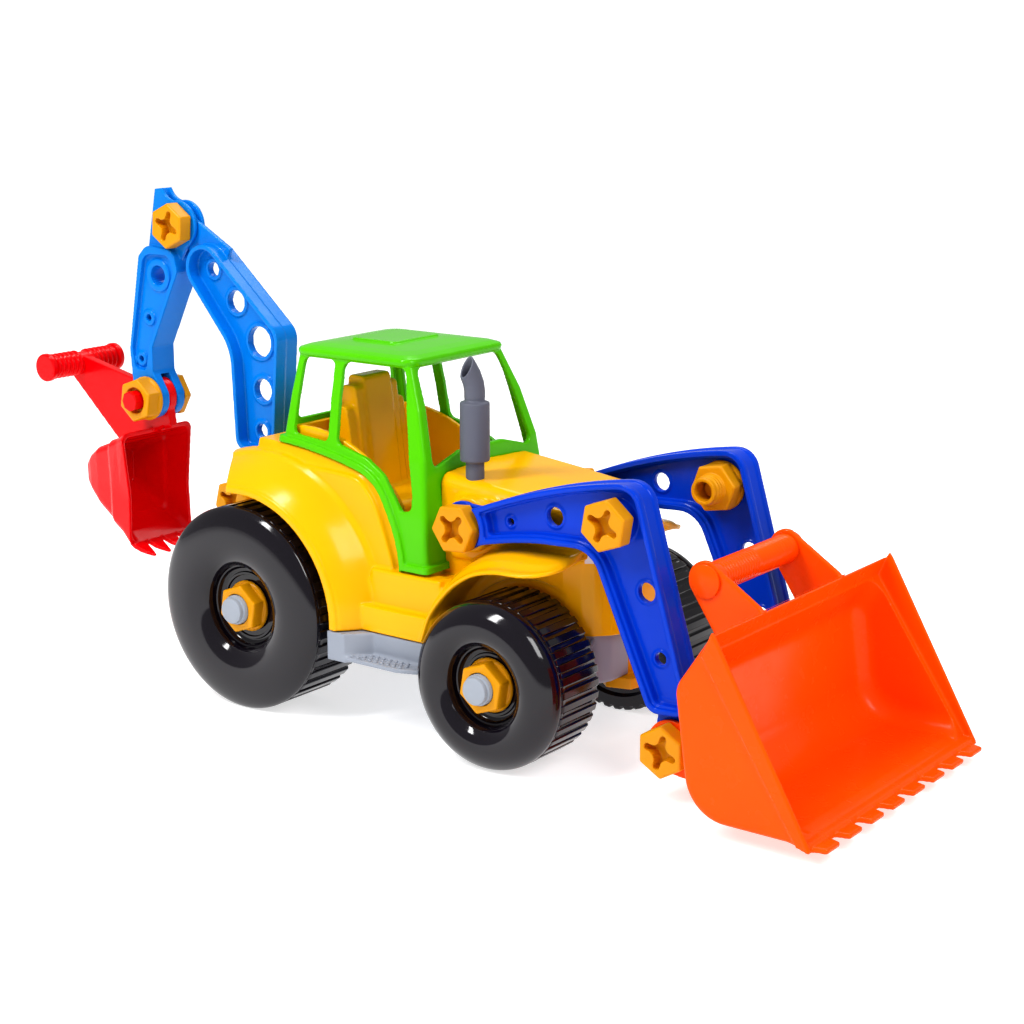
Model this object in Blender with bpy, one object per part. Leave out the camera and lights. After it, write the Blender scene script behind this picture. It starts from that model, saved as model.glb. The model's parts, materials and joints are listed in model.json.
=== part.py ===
"""Toy backhoe loader held together with large toy bolts.

Frame: +X is forward, +Y is the vehicle's left, +Z is up.
The origin is on the floor, under the middle of the toy's bounding box.
Lengths below are in millimetres, measured from a point on the floor under the rear axle.
Every mesh is scaled to metres and shifted into the frame when it is made.
"""

import math

import bmesh
import bpy
from mathutils import Vector

MM = 0.001
FRAME_SHIFT_X = -74.8

# Wheels and axles
REAR_WHEEL_R = 58.0
FRONT_WHEEL_R = 45.0
WHEELBASE = 171.1
TYRE_INNER_Y = 40.0
TYRE_SEAM_Y = 75.6
TYRE_SHOULDER_Y = 79.9
DISH_Y = 86.0
HUB_FLOOR_Y = 72.8
TYRE_WALL = 3.5
RIB_DEPTH = 1.6
REAR_RIBS = 28
FRONT_RIBS = 24
AXLE_R = 8.3
AXLE_END_Y = 88.6
RUNNING_GAP = 0.4

# Fasteners
HEX_FLATS = 24.0
HEAD_T = 9.5
SHANK_R = 5.0
SHANK_HOLE_R = 5.4
NUT_HOLE_R = 5.3
FLANGE_R = 13.6
FLANGE_T = 2.5
NUT_T = 9.0
CROSS_LONG = 17.0
CROSS_WIDE = 4.4
CROSS_DEEP = 5.5
AXLE_NUT_FLATS = 26.0
AXLE_NUT_FLANGE_R = 14.6
AXLE_NUT_INNER_Y = 73.2
AXLE_NUT_OUTER_Y = 83.6

# Loader arms, given for the right side and mirrored for the left
LOADER_PIVOT = (136.0, 119.4)
KNEE = (234.3, 136.7)
BUCKET_PIVOT = (268.8, 26.6)
ARM_MID_Y = 49.9
ARM_THICK = 16.0
ARM_WEB = 2.4
ARM_RIM = 3.0
TAB_T = 3.0
TAB_R = 13.4
LOWER_TAB_R = 12.4
REAR_CUT_R = 15.4
KNEE_BOSS_R = 11.0
KNEE_SEAT_Y = 57.2

# Loader bucket
BUCKET_HALF_W = 91.6
BUCKET_WALL = 3.0
BUCKET_BORDER = 1.2
BUCKET_EAR_R = 14.0
GRIP_AXIS = (278.7, 110.8)
GRIP_R = 7.8
GRIP_EAR_R = 10.0
GRIP_EAR_Y = 38.5
BUCKET_TEETH = 8
TOOTH_LONG = 6.5

# Backhoe
FOOT_PIVOT = (-66.0, 98.0)
ELBOW = (-117.3, 259.1)
CURL_PIVOT = (-143.9, 151.7)
BOOM_HALF_T = 9.2
BOOM_WEB = 2.4
BOOM_RIM = 2.6
ELBOW_TAB_HALF_T = 1.5
ELBOW_FORK_IN_Y = 2.0
ELBOW_FORK_OUT_Y = 4.4
FOOT_TAB_HALF_T = 4.0
FOOT_EAR_IN_Y = 4.5
FOOT_EAR_OUT_Y = 9.5
CURL_TAB_HALF_T = 3.0
CURL_FORK_IN_Y = 3.5
CURL_CAP_Y = 14.0
CURL_STUD_END_Y = 25.5
HANDLE_AXIS = (-215.1, 166.2)
HANDLE_HALF_LEN = 29.8
HANDLE_R = 6.4
HANDLE_RING_R = 8.0
HANDLE_END_R = 8.8
HANDLE_RINGS = 4

# Body, cab and chassis
BODY_HALF_W = 57.0
FENDER_HALF_W = 79.6
FENDER_EDGE_R = 65.0
FENDER_LIP_R = 70.0
SADDLE_CENTRE = (20.0, 75.0)
SADDLE_R = 75.0
TUB_HALF_W = 46.0
TUB_WALL = 3.0
TUB_FLOOR_Z = 86.0
HOOD_TOP_Z = 142.5
HOOD_SLOPE = 0.11
HOOD_FRONT_X = 214.0
HOOD_HALF_W = 40.0
SHELL_BOTTOM_Z = 56.5
CHASSIS_TOP_Z = 56.0
CHASSIS_BOTTOM_Z = 40.0
CAB_WALL = 3.0
CAB_FLOOR_GAP = 0.5
EXHAUST = (128.5, -31.0)
PAD_Y = 41.3
PIVOT_BOSS_R = 14.8
PIVOT_BOSS_Y = 47.8

ROUND = 20
SMALL_ROUND = 12
DISH_ROUND = 26
FLANGE_ROUND = 16

COLOURS = {
    "yellow": ((0.98, 0.55, 0.01, 1.0), 0.28),
    "green": ((0.13, 0.72, 0.02, 1.0), 0.28),
    "royal": ((0.0, 0.05, 0.62, 1.0), 0.25),
    "sky": ((0.0, 0.27, 0.88, 1.0), 0.25),
    "red": ((0.75, 0.0, 0.01, 1.0), 0.3),
    "orange": ((0.95, 0.14, 0.0, 1.0), 0.3),
    "grey": ((0.23, 0.25, 0.28, 1.0), 0.45),
    "black": ((0.012, 0.012, 0.014, 1.0), 0.15),
    "clear": ((0.75, 0.62, 0.62, 1.0), 0.12),
}


def clear_scene():
    for item in list(bpy.data.objects):
        bpy.data.objects.remove(item, do_unlink=True)


def add_object(name, points, faces):
    """A mesh object from points in millimetres, with its faces turned outwards."""
    mesh = bpy.data.meshes.new(name)
    moved = [((x + FRAME_SHIFT_X) * MM, y * MM, z * MM) for x, y, z in points]
    mesh.from_pydata(moved, [], faces)
    shape = bmesh.new()
    shape.from_mesh(mesh)
    bmesh.ops.recalc_face_normals(shape, faces=shape.faces)
    shape.to_mesh(mesh)
    shape.free()
    item = bpy.data.objects.new(name, mesh)
    bpy.context.scene.collection.objects.link(item)
    return item


def loft(name, loops):
    """Closed solid through loops that all have the same number of points."""
    count = len(loops[0])
    points = [point for loop in loops for point in loop]
    faces = []
    for level in range(len(loops) - 1):
        low = level * count
        high = low + count
        for i in range(count):
            j = (i + 1) % count
            faces.append((low + i, low + j, high + j, high + i))
    faces.append(tuple(range(count)))
    faces.append(tuple(range(len(points) - count, len(points))))
    return add_object(name, points, faces)


def slab(name, outline, y_from, y_to):
    """Outline in the side plane (x, z), given thickness along Y."""
    return loft(name, [[(x, y, z) for x, z in outline] for y in (y_from, y_to)])


def plate(name, outline, z_from, z_to):
    """Outline in the plan (x, y), given thickness along Z."""
    return loft(name, [[(x, y, z) for x, y in outline] for z in (z_from, z_to)])


def wall(name, outline, x_from, x_to):
    """Outline in the front plane (y, z), given thickness along X."""
    return loft(name, [[(x, y, z) for y, z in outline] for x in (x_from, x_to)])


def box(name, low, high):
    corners = [(low[0], low[2]), (high[0], low[2]), (high[0], high[2]), (low[0], high[2])]
    return slab(name, corners, low[1], high[1])


def circle(centre, radius, count=ROUND, start=0.0):
    turn = 2 * math.pi / count
    return [
        (centre[0] + radius * math.cos(start + i * turn), centre[1] + radius * math.sin(start + i * turn))
        for i in range(count)
    ]


def arc(centre, radius, from_deg, to_deg, count):
    angles = [math.radians(from_deg + (to_deg - from_deg) * i / (count - 1)) for i in range(count)]
    return [(centre[0] + radius * math.cos(a), centre[1] + radius * math.sin(a)) for a in angles]


def bend(start, control, end, count):
    """Points on a smooth bend from start to end, pulled towards control; start is left out."""
    points = []
    for i in range(1, count + 1):
        t = i / count
        u = 1 - t
        points.append(tuple(u * u * start[k] + 2 * u * t * control[k] + t * t * end[k] for k in (0, 1)))
    return points


def rounded(corners, steps=3):
    """Polygon whose corners (a, b, radius) are rounded off."""
    points = []
    for i, (a, b, radius) in enumerate(corners):
        here = Vector((a, b))
        if radius <= 0:
            points.append((a, b))
            continue
        before = (Vector(corners[i - 1][:2]) - here).normalized()
        after = (Vector(corners[(i + 1) % len(corners)][:2]) - here).normalized()
        half = before.angle(after) / 2
        run = radius / math.tan(half)
        middle = here + (before + after).normalized() * (radius / math.sin(half))
        first = here + before * run - middle
        last = here + after * run - middle
        sweep = first.angle_signed(last)
        for k in range(steps + 1):
            spoke = first.copy()
            turn = -sweep * k / steps
            cos_t = math.cos(turn)
            sin_t = math.sin(turn)
            points.append(
                (
                    middle[0] + spoke[0] * cos_t - spoke[1] * sin_t,
                    middle[1] + spoke[0] * sin_t + spoke[1] * cos_t,
                )
            )
    return points


def signed_area(outline):
    count = len(outline)
    return sum(
        outline[i][0] * outline[(i + 1) % count][1] - outline[(i + 1) % count][0] * outline[i][1]
        for i in range(count)
    ) / 2


def inset(outline, distance):
    """Outline moved inwards by a distance, measured square to its edges."""
    sign = 1 if signed_area(outline) > 0 else -1
    count = len(outline)
    points = []
    for i in range(count):
        here = Vector(outline[i])
        incoming = (here - Vector(outline[i - 1])).normalized()
        outgoing = (Vector(outline[(i + 1) % count]) - here).normalized()
        normal_in = Vector((-incoming.y, incoming.x)) * sign
        normal_out = Vector((-outgoing.y, outgoing.x)) * sign
        middle = (normal_in + normal_out).normalized()
        points.append(tuple(here + middle * (distance / max(0.3, middle.dot(normal_in)))))
    return points


def boolean(target, tools, operation, solver):
    for tool in tools:
        modifier = target.modifiers.new(operation, "BOOLEAN")
        modifier.operation = operation
        modifier.solver = solver
        modifier.object = tool
    graph = bpy.context.evaluated_depsgraph_get()
    mesh = bpy.data.meshes.new_from_object(target.evaluated_get(graph))
    target.modifiers.clear()
    target.data = mesh
    for tool in tools:
        bpy.data.objects.remove(tool, do_unlink=True)
    return target


def cut(target, *tools, solver="EXACT"):
    return boolean(target, tools, "DIFFERENCE", solver)


def join(target, *tools, solver="EXACT"):
    return boolean(target, tools, "UNION", solver)


def rod(name, centre, radius, y_from, y_to, count=ROUND):
    return slab(name, circle(centre, radius, count), y_from, y_to)


def hole(centre, radius, y_from, y_to, count=ROUND):
    return rod("hole", centre, radius, y_from, y_to, count)


def lathe(name, centre, profile, count, rib_depth=0.0):
    """Ring turned about a Y axis from a closed profile of (radius, y).

    With a rib depth, profile points marked by a third value True dip between ribs.
    """
    turns = count
    points = []
    for k in range(turns):
        angle = 2 * math.pi * k / turns
        for entry in profile:
            radius = entry[0]
            if len(entry) == 3 and k % 2:
                radius -= rib_depth
            points.append(
                (centre[0] + radius * math.sin(angle), entry[1], centre[1] - radius * math.cos(angle))
            )
    size = len(profile)
    faces = []
    for k in range(turns):
        following = (k + 1) % turns
        for i in range(size):
            j = (i + 1) % size
            faces.append((k * size + i, k * size + j, following * size + j, following * size + i))
    return add_object(name, points, faces)


def mirrored(source, name):
    """Copy of a right-hand piece, reflected to the left-hand side."""
    mesh = source.data.copy()
    mesh.name = name
    shape = bmesh.new()
    shape.from_mesh(mesh)
    for vertex in shape.verts:
        vertex.co.y = -vertex.co.y
    bmesh.ops.reverse_faces(shape, faces=shape.faces)
    shape.to_mesh(mesh)
    shape.free()
    item = bpy.data.objects.new(name, mesh)
    bpy.context.scene.collection.objects.link(item)
    return item


def hexagon(centre, flats, turn_deg):
    return circle(centre, flats / math.sqrt(3), 6, math.radians(turn_deg))


def hex_bolt(name, centre, y_under, y_end, turn_deg=0.0):
    """Bolt with a thick hexagonal head, a cross-shaped driver recess and a plain round shank."""
    outward = -1 if y_under < y_end else 1
    y_face = y_under + outward * HEAD_T
    bolt = slab(name, hexagon(centre, HEX_FLATS, turn_deg), y_under, y_face)
    shank = rod("shank", centre, SHANK_R, y_under + outward * 2, y_end, SMALL_ROUND)
    bolt = join(bolt, shank)
    recess_tools = []
    for quarter in (45, 135):
        direction = math.radians(turn_deg + quarter)
        along = Vector((math.cos(direction), math.sin(direction)))
        across = Vector((-along.y, along.x))
        middle = Vector(centre)
        outline = [
            tuple(middle + along * CROSS_LONG / 2 * a + across * CROSS_WIDE / 2 * b)
            for a, b in ((1, 1), (-1, 1), (-1, -1), (1, -1))
        ]
        recess_tools.append(slab("recess", outline, y_face + outward, y_face - outward * CROSS_DEEP))
    return cut(bolt, *recess_tools)


def flange_nut(name, centre, y_seat, direction, flats=HEX_FLATS, flange_r=FLANGE_R,
               bore_r=NUT_HOLE_R, thick=NUT_T + FLANGE_T, turn_deg=0.0):
    """Hexagonal nut on a round flange; direction is the way it stands off its seat."""
    nut = slab(name, hexagon(centre, flats, turn_deg), y_seat + direction, y_seat + direction * thick)
    flange = rod("flange", centre, flange_r, y_seat, y_seat + direction * FLANGE_T, FLANGE_ROUND)
    nut = join(nut, flange)
    bore = hole(centre, bore_r, y_seat - direction, y_seat + direction * (thick + 1), SMALL_ROUND)
    return cut(nut, bore)


def finish(item, colour, pivot=None, smooth=True):
    """Gives a piece its plastic and puts its origin on its joint axis."""
    base, roughness = COLOURS[colour]
    plastic = bpy.data.materials.new(item.name + "_plastic")
    plastic.use_nodes = True
    shader = plastic.node_tree.nodes["Principled BSDF"]
    shader.inputs["Base Color"].default_value = base
    shader.inputs["Roughness"].default_value = roughness
    shader.inputs["Metallic"].default_value = 0.0
    plastic.diffuse_color = base
    item.data.materials.clear()
    item.data.materials.append(plastic)
    if smooth:
        for face in item.data.polygons:
            face.use_smooth = True
        item.data.set_sharp_from_angle(angle=math.radians(35))
    if pivot is not None:
        home = Vector(((pivot[0] + FRAME_SHIFT_X) * MM, 0.0, pivot[1] * MM))
        for vertex in item.data.vertices:
            vertex.co -= home
        item.location = home
    return item


def make_wheel(label, centre, radius, ribs):
    """A moulded black wheel: a smooth outer dish and a ribbed tread drum, for both sides."""
    recess_r = radius * 0.2 + 12.5
    dish_profile = [
        (AXLE_R + RUNNING_GAP, HUB_FLOOR_Y - 6),
        (AXLE_R + RUNNING_GAP, HUB_FLOOR_Y),
        (recess_r - 3, HUB_FLOOR_Y),
        (recess_r + 1, DISH_Y - 1.5),
        (recess_r + 6, DISH_Y),
        (radius - 5, DISH_Y - 2.2),
        (radius, TYRE_SHOULDER_Y),
        (radius, TYRE_SEAM_Y + 0.4),
        (radius - TYRE_WALL, TYRE_SEAM_Y + 0.4),
        (radius - TYRE_WALL - 2, DISH_Y - 6),
        (recess_r + 4, DISH_Y - 4),
        (recess_r, HUB_FLOOR_Y - 6),
    ]
    drum_profile = [
        (AXLE_R + RUNNING_GAP, TYRE_INNER_Y),
        (AXLE_R + RUNNING_GAP, TYRE_INNER_Y + 4),
        (radius - TYRE_WALL - RIB_DEPTH, TYRE_INNER_Y + 4),
        (radius - TYRE_WALL - RIB_DEPTH, TYRE_SEAM_Y),
        (radius, TYRE_SEAM_Y, True),
        (radius, TYRE_INNER_Y, True),
    ]
    drum_profile = [(p[0], -p[1], *p[2:]) for p in drum_profile]
    dish_profile = [(r, -y) for r, y in dish_profile]
    dish = lathe(label + "_wheel_dish_right", centre, dish_profile, DISH_ROUND)
    drum = lathe(label + "_wheel_tread_right", centre, drum_profile, ribs * 2, RIB_DEPTH)
    pieces = [dish, drum]
    pieces.append(mirrored(dish, label + "_wheel_dish_left"))
    pieces.append(mirrored(drum, label + "_wheel_tread_left"))
    for piece in pieces:
        finish(piece, "black", centre)


def make_axle(label, centre):
    axle = rod(label + "_axle", centre, AXLE_R, -AXLE_END_Y, AXLE_END_Y)
    finish(axle, "grey")
    nut = flange_nut(
        label + "_axle_nut_right", centre, -AXLE_NUT_INNER_Y, -1, AXLE_NUT_FLATS,
        AXLE_NUT_FLANGE_R, AXLE_R + RUNNING_GAP, AXLE_NUT_OUTER_Y - AXLE_NUT_INNER_Y, 20.0,
    )
    finish(nut, "yellow")
    finish(mirrored(nut, label + "_axle_nut_left"), "yellow")


def arm_outline():
    """Side view of a loader arm, from its hollow rear end round the knee to its lower end."""
    rear_top = (145.8, 130.9)
    crown = (236.0, 156.5)
    points = arc(LOADER_PIVOT, REAR_CUT_R, -28.5, 49.6, 6)
    points += bend(rear_top, (192.0, 150.5), crown, 6)
    points += rounded(
        [
            (*crown, 0), (248.0, 157.2, 12), (281.5, 44.0, 8), (256.8, 43.0, 8),
            (221.5, 120.8, 16), (190.0, 119.4, 0),
        ]
    )[1:]
    points += bend((190.0, 119.4), (170.0, 117.5), points[0], 3)[:-1]
    return points


def make_loader_arm():
    outer_y = -(ARM_MID_Y + ARM_THICK / 2)
    inner_y = -(ARM_MID_Y - ARM_THICK / 2)
    outline = arm_outline()
    arm = slab("loader_arm_right", outline, outer_y, inner_y)
    pocket = inset(outline, ARM_RIM)
    web_out = -(ARM_MID_Y + ARM_WEB / 2)
    web_in = -(ARM_MID_Y - ARM_WEB / 2)
    arm = cut(
        arm,
        slab("pocket", pocket, outer_y - 1, web_out),
        slab("pocket", pocket, web_in, inner_y + 1),
    )
    tab_out = -(ARM_MID_Y + TAB_T / 2)
    tab_in = -(ARM_MID_Y - TAB_T / 2)
    rear_tab = arc(LOADER_PIVOT, TAB_R, 70, 285, 14) + [(154.0, 114.5), (154.0, 131.5)]
    lower_tab = arc(BUCKET_PIVOT, LOWER_TAB_R, 160, 370, 14) + [(279.0, 50.0), (260.0, 50.0)]
    boss = rod("boss", KNEE, KNEE_BOSS_R, -KNEE_SEAT_Y + 0.3, web_out + 0.5)
    arm = join(
        arm,
        slab("tab", rear_tab, tab_out, tab_in),
        slab("tab", lower_tab, tab_out, tab_in),
        boss,
    )
    far = outer_y - 5
    near = inner_y + 5
    holes = [
        hole(LOADER_PIVOT, SHANK_HOLE_R, far, near),
        hole(KNEE, SHANK_HOLE_R, far, near),
        hole(BUCKET_PIVOT, SHANK_HOLE_R, far, near),
        hole((195.5, 133.2), 4.9, far, near, SMALL_ROUND),
        hole((251.3, 102.7), 4.9, far, near, SMALL_ROUND),
        hole((260.0, 70.0), 3.2, far, near, SMALL_ROUND),
        hole((167.5, 126.5), 2.0, far, near, SMALL_ROUND),
    ]
    return cut(arm, *holes)


def make_loader_group():
    arm = make_loader_arm()
    knee_bolt = hex_bolt("knee_bolt_right", KNEE, -KNEE_SEAT_Y, -27.0, 35.0)
    knee_nut = flange_nut("knee_nut_right", KNEE, -(ARM_MID_Y - ARM_WEB / 2 - 0.3), 1, turn_deg=10.0)
    bucket_bolt = hex_bolt("bucket_bolt_right", BUCKET_PIVOT, -55.8, -31.0, 30.0)
    bucket_nut = flange_nut("bucket_nut_right", BUCKET_PIVOT, -44.0, 1, turn_deg=5.0)
    for piece in (arm, knee_bolt, knee_nut, bucket_bolt, bucket_nut):
        left = mirrored(piece, piece.name.replace("right", "left"))
        colour = "royal" if piece is arm else "yellow"
        finish(piece, colour, LOADER_PIVOT)
        finish(left, colour, LOADER_PIVOT)


def make_loader_bucket():
    rim = (312.5, 102.8)
    lip = (367.0, 6.6)
    outline = rounded([(*rim, 0), (292.0, 72.0, 12), (301.0, 9.0, 22), (354.0, 9.0, 6), (*lip, 0)])
    bucket = slab("loader_bucket", outline, -BUCKET_HALF_W + BUCKET_BORDER, BUCKET_HALF_W - BUCKET_BORDER)
    slope = Vector((lip[0] - rim[0], lip[1] - rim[1])).normalized()
    back = Vector((slope.y, -slope.x)) * 7.0
    border = [rim, lip, (lip[0] + back.x - 1, lip[1] + 1.5), (rim[0] + back.x + 1.5, rim[1] + back.y - 3.2)]
    borders = [
        slab("border", border, -BUCKET_HALF_W, -BUCKET_HALF_W + 2 * BUCKET_BORDER),
        slab("border", border, BUCKET_HALF_W - 2 * BUCKET_BORDER, BUCKET_HALF_W),
    ]
    ears = []
    for side in (-1, 1):
        for y_low in (52.0, 44.6):
            ear = arc(BUCKET_PIVOT, BUCKET_EAR_R, 75, 270, 12) + [(303.0, 9.6), (298.0, 46.0)]
            ears.append(slab("ear", ear, side * y_low, side * (y_low + 3.0)))
        handle_ear = arc(GRIP_AXIS, GRIP_EAR_R, 80, 215, 8)
        handle_ear += [(294.0, 70.0), (300.0, 76.0), (313.0, 99.0), (310.5, 102.4)]
        ears.append(slab("ear", handle_ear, side * GRIP_EAR_Y, side * (GRIP_EAR_Y + 3.0)))
    bucket = join(bucket, *borders, *ears)
    inner = inset(outline, BUCKET_WALL)
    ahead = Vector((-slope.y, slope.x)) * 30.0
    inner_open = inner[:-1] + [
        (inner[-1][0] - 1.0, inner[-1][1] + 0.6),
        (lip[0] + ahead.x, lip[1] + 3.0),
        (rim[0] + ahead.x, rim[1] + ahead.y + 20.0),
        (rim[0] + 3.4, rim[1] + 12.0),
    ]
    bucket = cut(bucket, slab("inside", inner_open, -BUCKET_HALF_W + 3.8, BUCKET_HALF_W - 3.8))
    pitch = 2 * (BUCKET_HALF_W - 2.0) / BUCKET_TEETH
    teeth = []
    for k in range(BUCKET_TEETH):
        y_left = -BUCKET_HALF_W + 2.0 + k * pitch
        tooth = [
            (lip[0] - 4.0, y_left + 0.5),
            (lip[0] + TOOTH_LONG, y_left + 3.5),
            (lip[0] + TOOTH_LONG, y_left + pitch - 6.5),
            (lip[0] - 4.0, y_left + pitch - 2.5),
        ]
        teeth.append(plate("tooth", tooth, lip[1] - 0.1, lip[1] + 2.3))
    bucket = join(bucket, *teeth)
    holes = [hole(BUCKET_PIVOT, SHANK_HOLE_R, -60, 60)]
    holes.append(hole(GRIP_AXIS, 6.4, -60, 60))
    bucket = cut(bucket, *holes)
    grip_profile = [
        (0.0, -43.2), (8.6, -43.2), (8.6, -41.9), (6.0, -41.9), (6.0, -38.1), (GRIP_R, -38.1),
        (GRIP_R, 38.1), (6.0, 38.1), (6.0, 41.9), (8.6, 41.9), (8.6, 43.2), (0.0, 43.2),
    ]
    grip = turned("bucket_grip", GRIP_AXIS, grip_profile, ROUND)
    finish(bucket, "orange", BUCKET_PIVOT)
    finish(grip, "orange", BUCKET_PIVOT)


def turned(name, centre, profile, count):
    """Solid turned about a Y axis; the profile starts and ends on the axis."""
    loops = profile[1:-1]
    points = [(centre[0], profile[0][1], centre[1])]
    for radius, y in loops:
        points += [(x, y, z) for x, z in circle(centre, radius, count)]
    points.append((centre[0], profile[-1][1], centre[1]))
    last = len(points) - 1
    faces = []
    for i in range(count):
        j = (i + 1) % count
        faces.append((0, 1 + i, 1 + j))
        for level in range(len(loops) - 1):
            low = 1 + level * count
            high = low + count
            faces.append((low + i, low + j, high + j, high + i))
        faces.append((last, last - count + j, last - count + i))
    return add_object(name, points, faces)


def boom_outline():
    points = arc((-93.0, 235.0), 14.0, 50, 215, 8)
    points += rounded([
        (-104.5, 227.0, 0), (-72.5, 189.0, 30), (-70.0, 129.0, 7), (-39.5, 127.5, 6), (-33.5, 201.0, 12),
        (-84.0, 245.7, 0),
    ])[1:-1]
    return points


def make_boom():
    outline = boom_outline()
    boom = slab("boom", outline, -BOOM_HALF_T, BOOM_HALF_T)
    pocket = inset(outline, BOOM_RIM)
    half_web = BOOM_WEB / 2
    boom = cut(
        boom,
        slab("pocket", pocket, -BOOM_HALF_T - 1, -half_web),
        slab("pocket", pocket, half_web, BOOM_HALF_T + 1),
    )
    neck = arc(ELBOW, 12.0, 20, 240, 12) + [(-101.0, 240.0), (-80.0, 240.0), (-77.0, 247.0)]
    foot = arc(FOOT_PIVOT, 13.0, 185, 350, 12) + [(-43.0, 130.5), (-69.5, 130.5)]
    boom = join(
        boom,
        slab("neck", neck, -ELBOW_TAB_HALF_T, ELBOW_TAB_HALF_T),
        slab("foot", foot, -FOOT_TAB_HALF_T, FOOT_TAB_HALF_T),
    )
    web_holes = [
        ((-90.5, 234.2), 4.4), ((-72.5, 216.2), 6.8), ((-54.5, 193.7), 9.2), ((-52.7, 165.0), 6.8),
        ((-54.5, 140.2), 4.3),
    ]
    holes = [hole(centre, radius, -20, 20, SMALL_ROUND) for centre, radius in web_holes]
    holes.append(hole(ELBOW, SHANK_HOLE_R, -20, 20))
    holes.append(hole(FOOT_PIVOT, SHANK_HOLE_R, -20, 20))
    boom = cut(boom, *holes)
    finish(boom, "sky", FOOT_PIVOT)


def make_dipper():
    fork_r = 13.0
    corners = [(-140.5, 246.0, 7), (-147.6, 239.5, 6), (-158.8, 181.0, 12)]
    corners += [(x, z, 0) for x, z in arc(CURL_PIVOT, fork_r, 170, 380, 12)]
    corners += [(-139.0, 168.0, 5), (-139.0, 183.5, 5), (-114.5, 231.5, 6), (-117.5, 244.0, 7)]
    outline = rounded(corners, 3)
    dipper = slab("dipper", outline, -BOOM_HALF_T, BOOM_HALF_T)
    recess = rounded(
        [(-143.5, 240.5, 7), (-156.5, 182.0, 5), (-154.5, 169.0, 3), (-145.0, 169.0, 3),
         (-142.0, 184.0, 5), (-118.0, 231.0, 6), (-121.0, 241.0, 7)], 3
    )
    dipper = cut(
        dipper,
        slab("recess", recess, -BOOM_HALF_T - 1, -BOOM_HALF_T + 3.0),
        slab("recess", recess, BOOM_HALF_T - 3.0, BOOM_HALF_T + 1),
        slab(
            "slot", [(-175.0, 120.0), (-115.0, 120.0), (-115.0, 166.5), (-175.0, 166.5)],
            -CURL_FORK_IN_Y, CURL_FORK_IN_Y,
        ),
    )
    fork = [(-144.6, 238.0), (-135.9, 279.9), (-129.9, 280.6)]
    fork += bend((-129.9, 280.6), (-126.5, 274.0), (-119.5, 273.2), 4)
    fork += arc(ELBOW, 14.6, 100, -62, 12)
    fork += [(-116.0, 238.0)]
    top = slab("fork", fork, -ELBOW_FORK_OUT_Y, ELBOW_FORK_OUT_Y)
    dipper = join(dipper, top)
    slot_low = ELBOW[1] - 15.4
    slot = [(-160.0, slot_low), (-80.0, slot_low), (-80.0, 300.0), (-160.0, 300.0)]
    dipper = cut(
        dipper,
        slab("slot", slot, -ELBOW_FORK_IN_Y, ELBOW_FORK_IN_Y),
        hole(ELBOW, SHANK_HOLE_R, -20, 20),
        hole(CURL_PIVOT, SHANK_HOLE_R, -20, 20),
        hole((-133.0, 228.0), 6.0, -20, 20),
        hole((-142.5, 201.5), 2.1, -20, 20, SMALL_ROUND),
        hole((-150.5, 175.3), 1.9, -20, 20, SMALL_ROUND),
    )
    finish(dipper, "sky", ELBOW)
    bolt = hex_bolt("elbow_bolt", ELBOW, -ELBOW_FORK_OUT_Y - 0.4, ELBOW_FORK_OUT_Y + 1.5, 25.0)
    finish(bolt, "yellow", ELBOW)


def rounded_box_loop(x, half_w, z_low, z_high, radius):
    corners = [
        (-half_w, z_low, radius), (half_w, z_low, radius), (half_w, z_high, radius), (-half_w, z_high, radius),
    ]
    return [(x, y, z) for y, z in rounded(corners, 2)]


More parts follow.
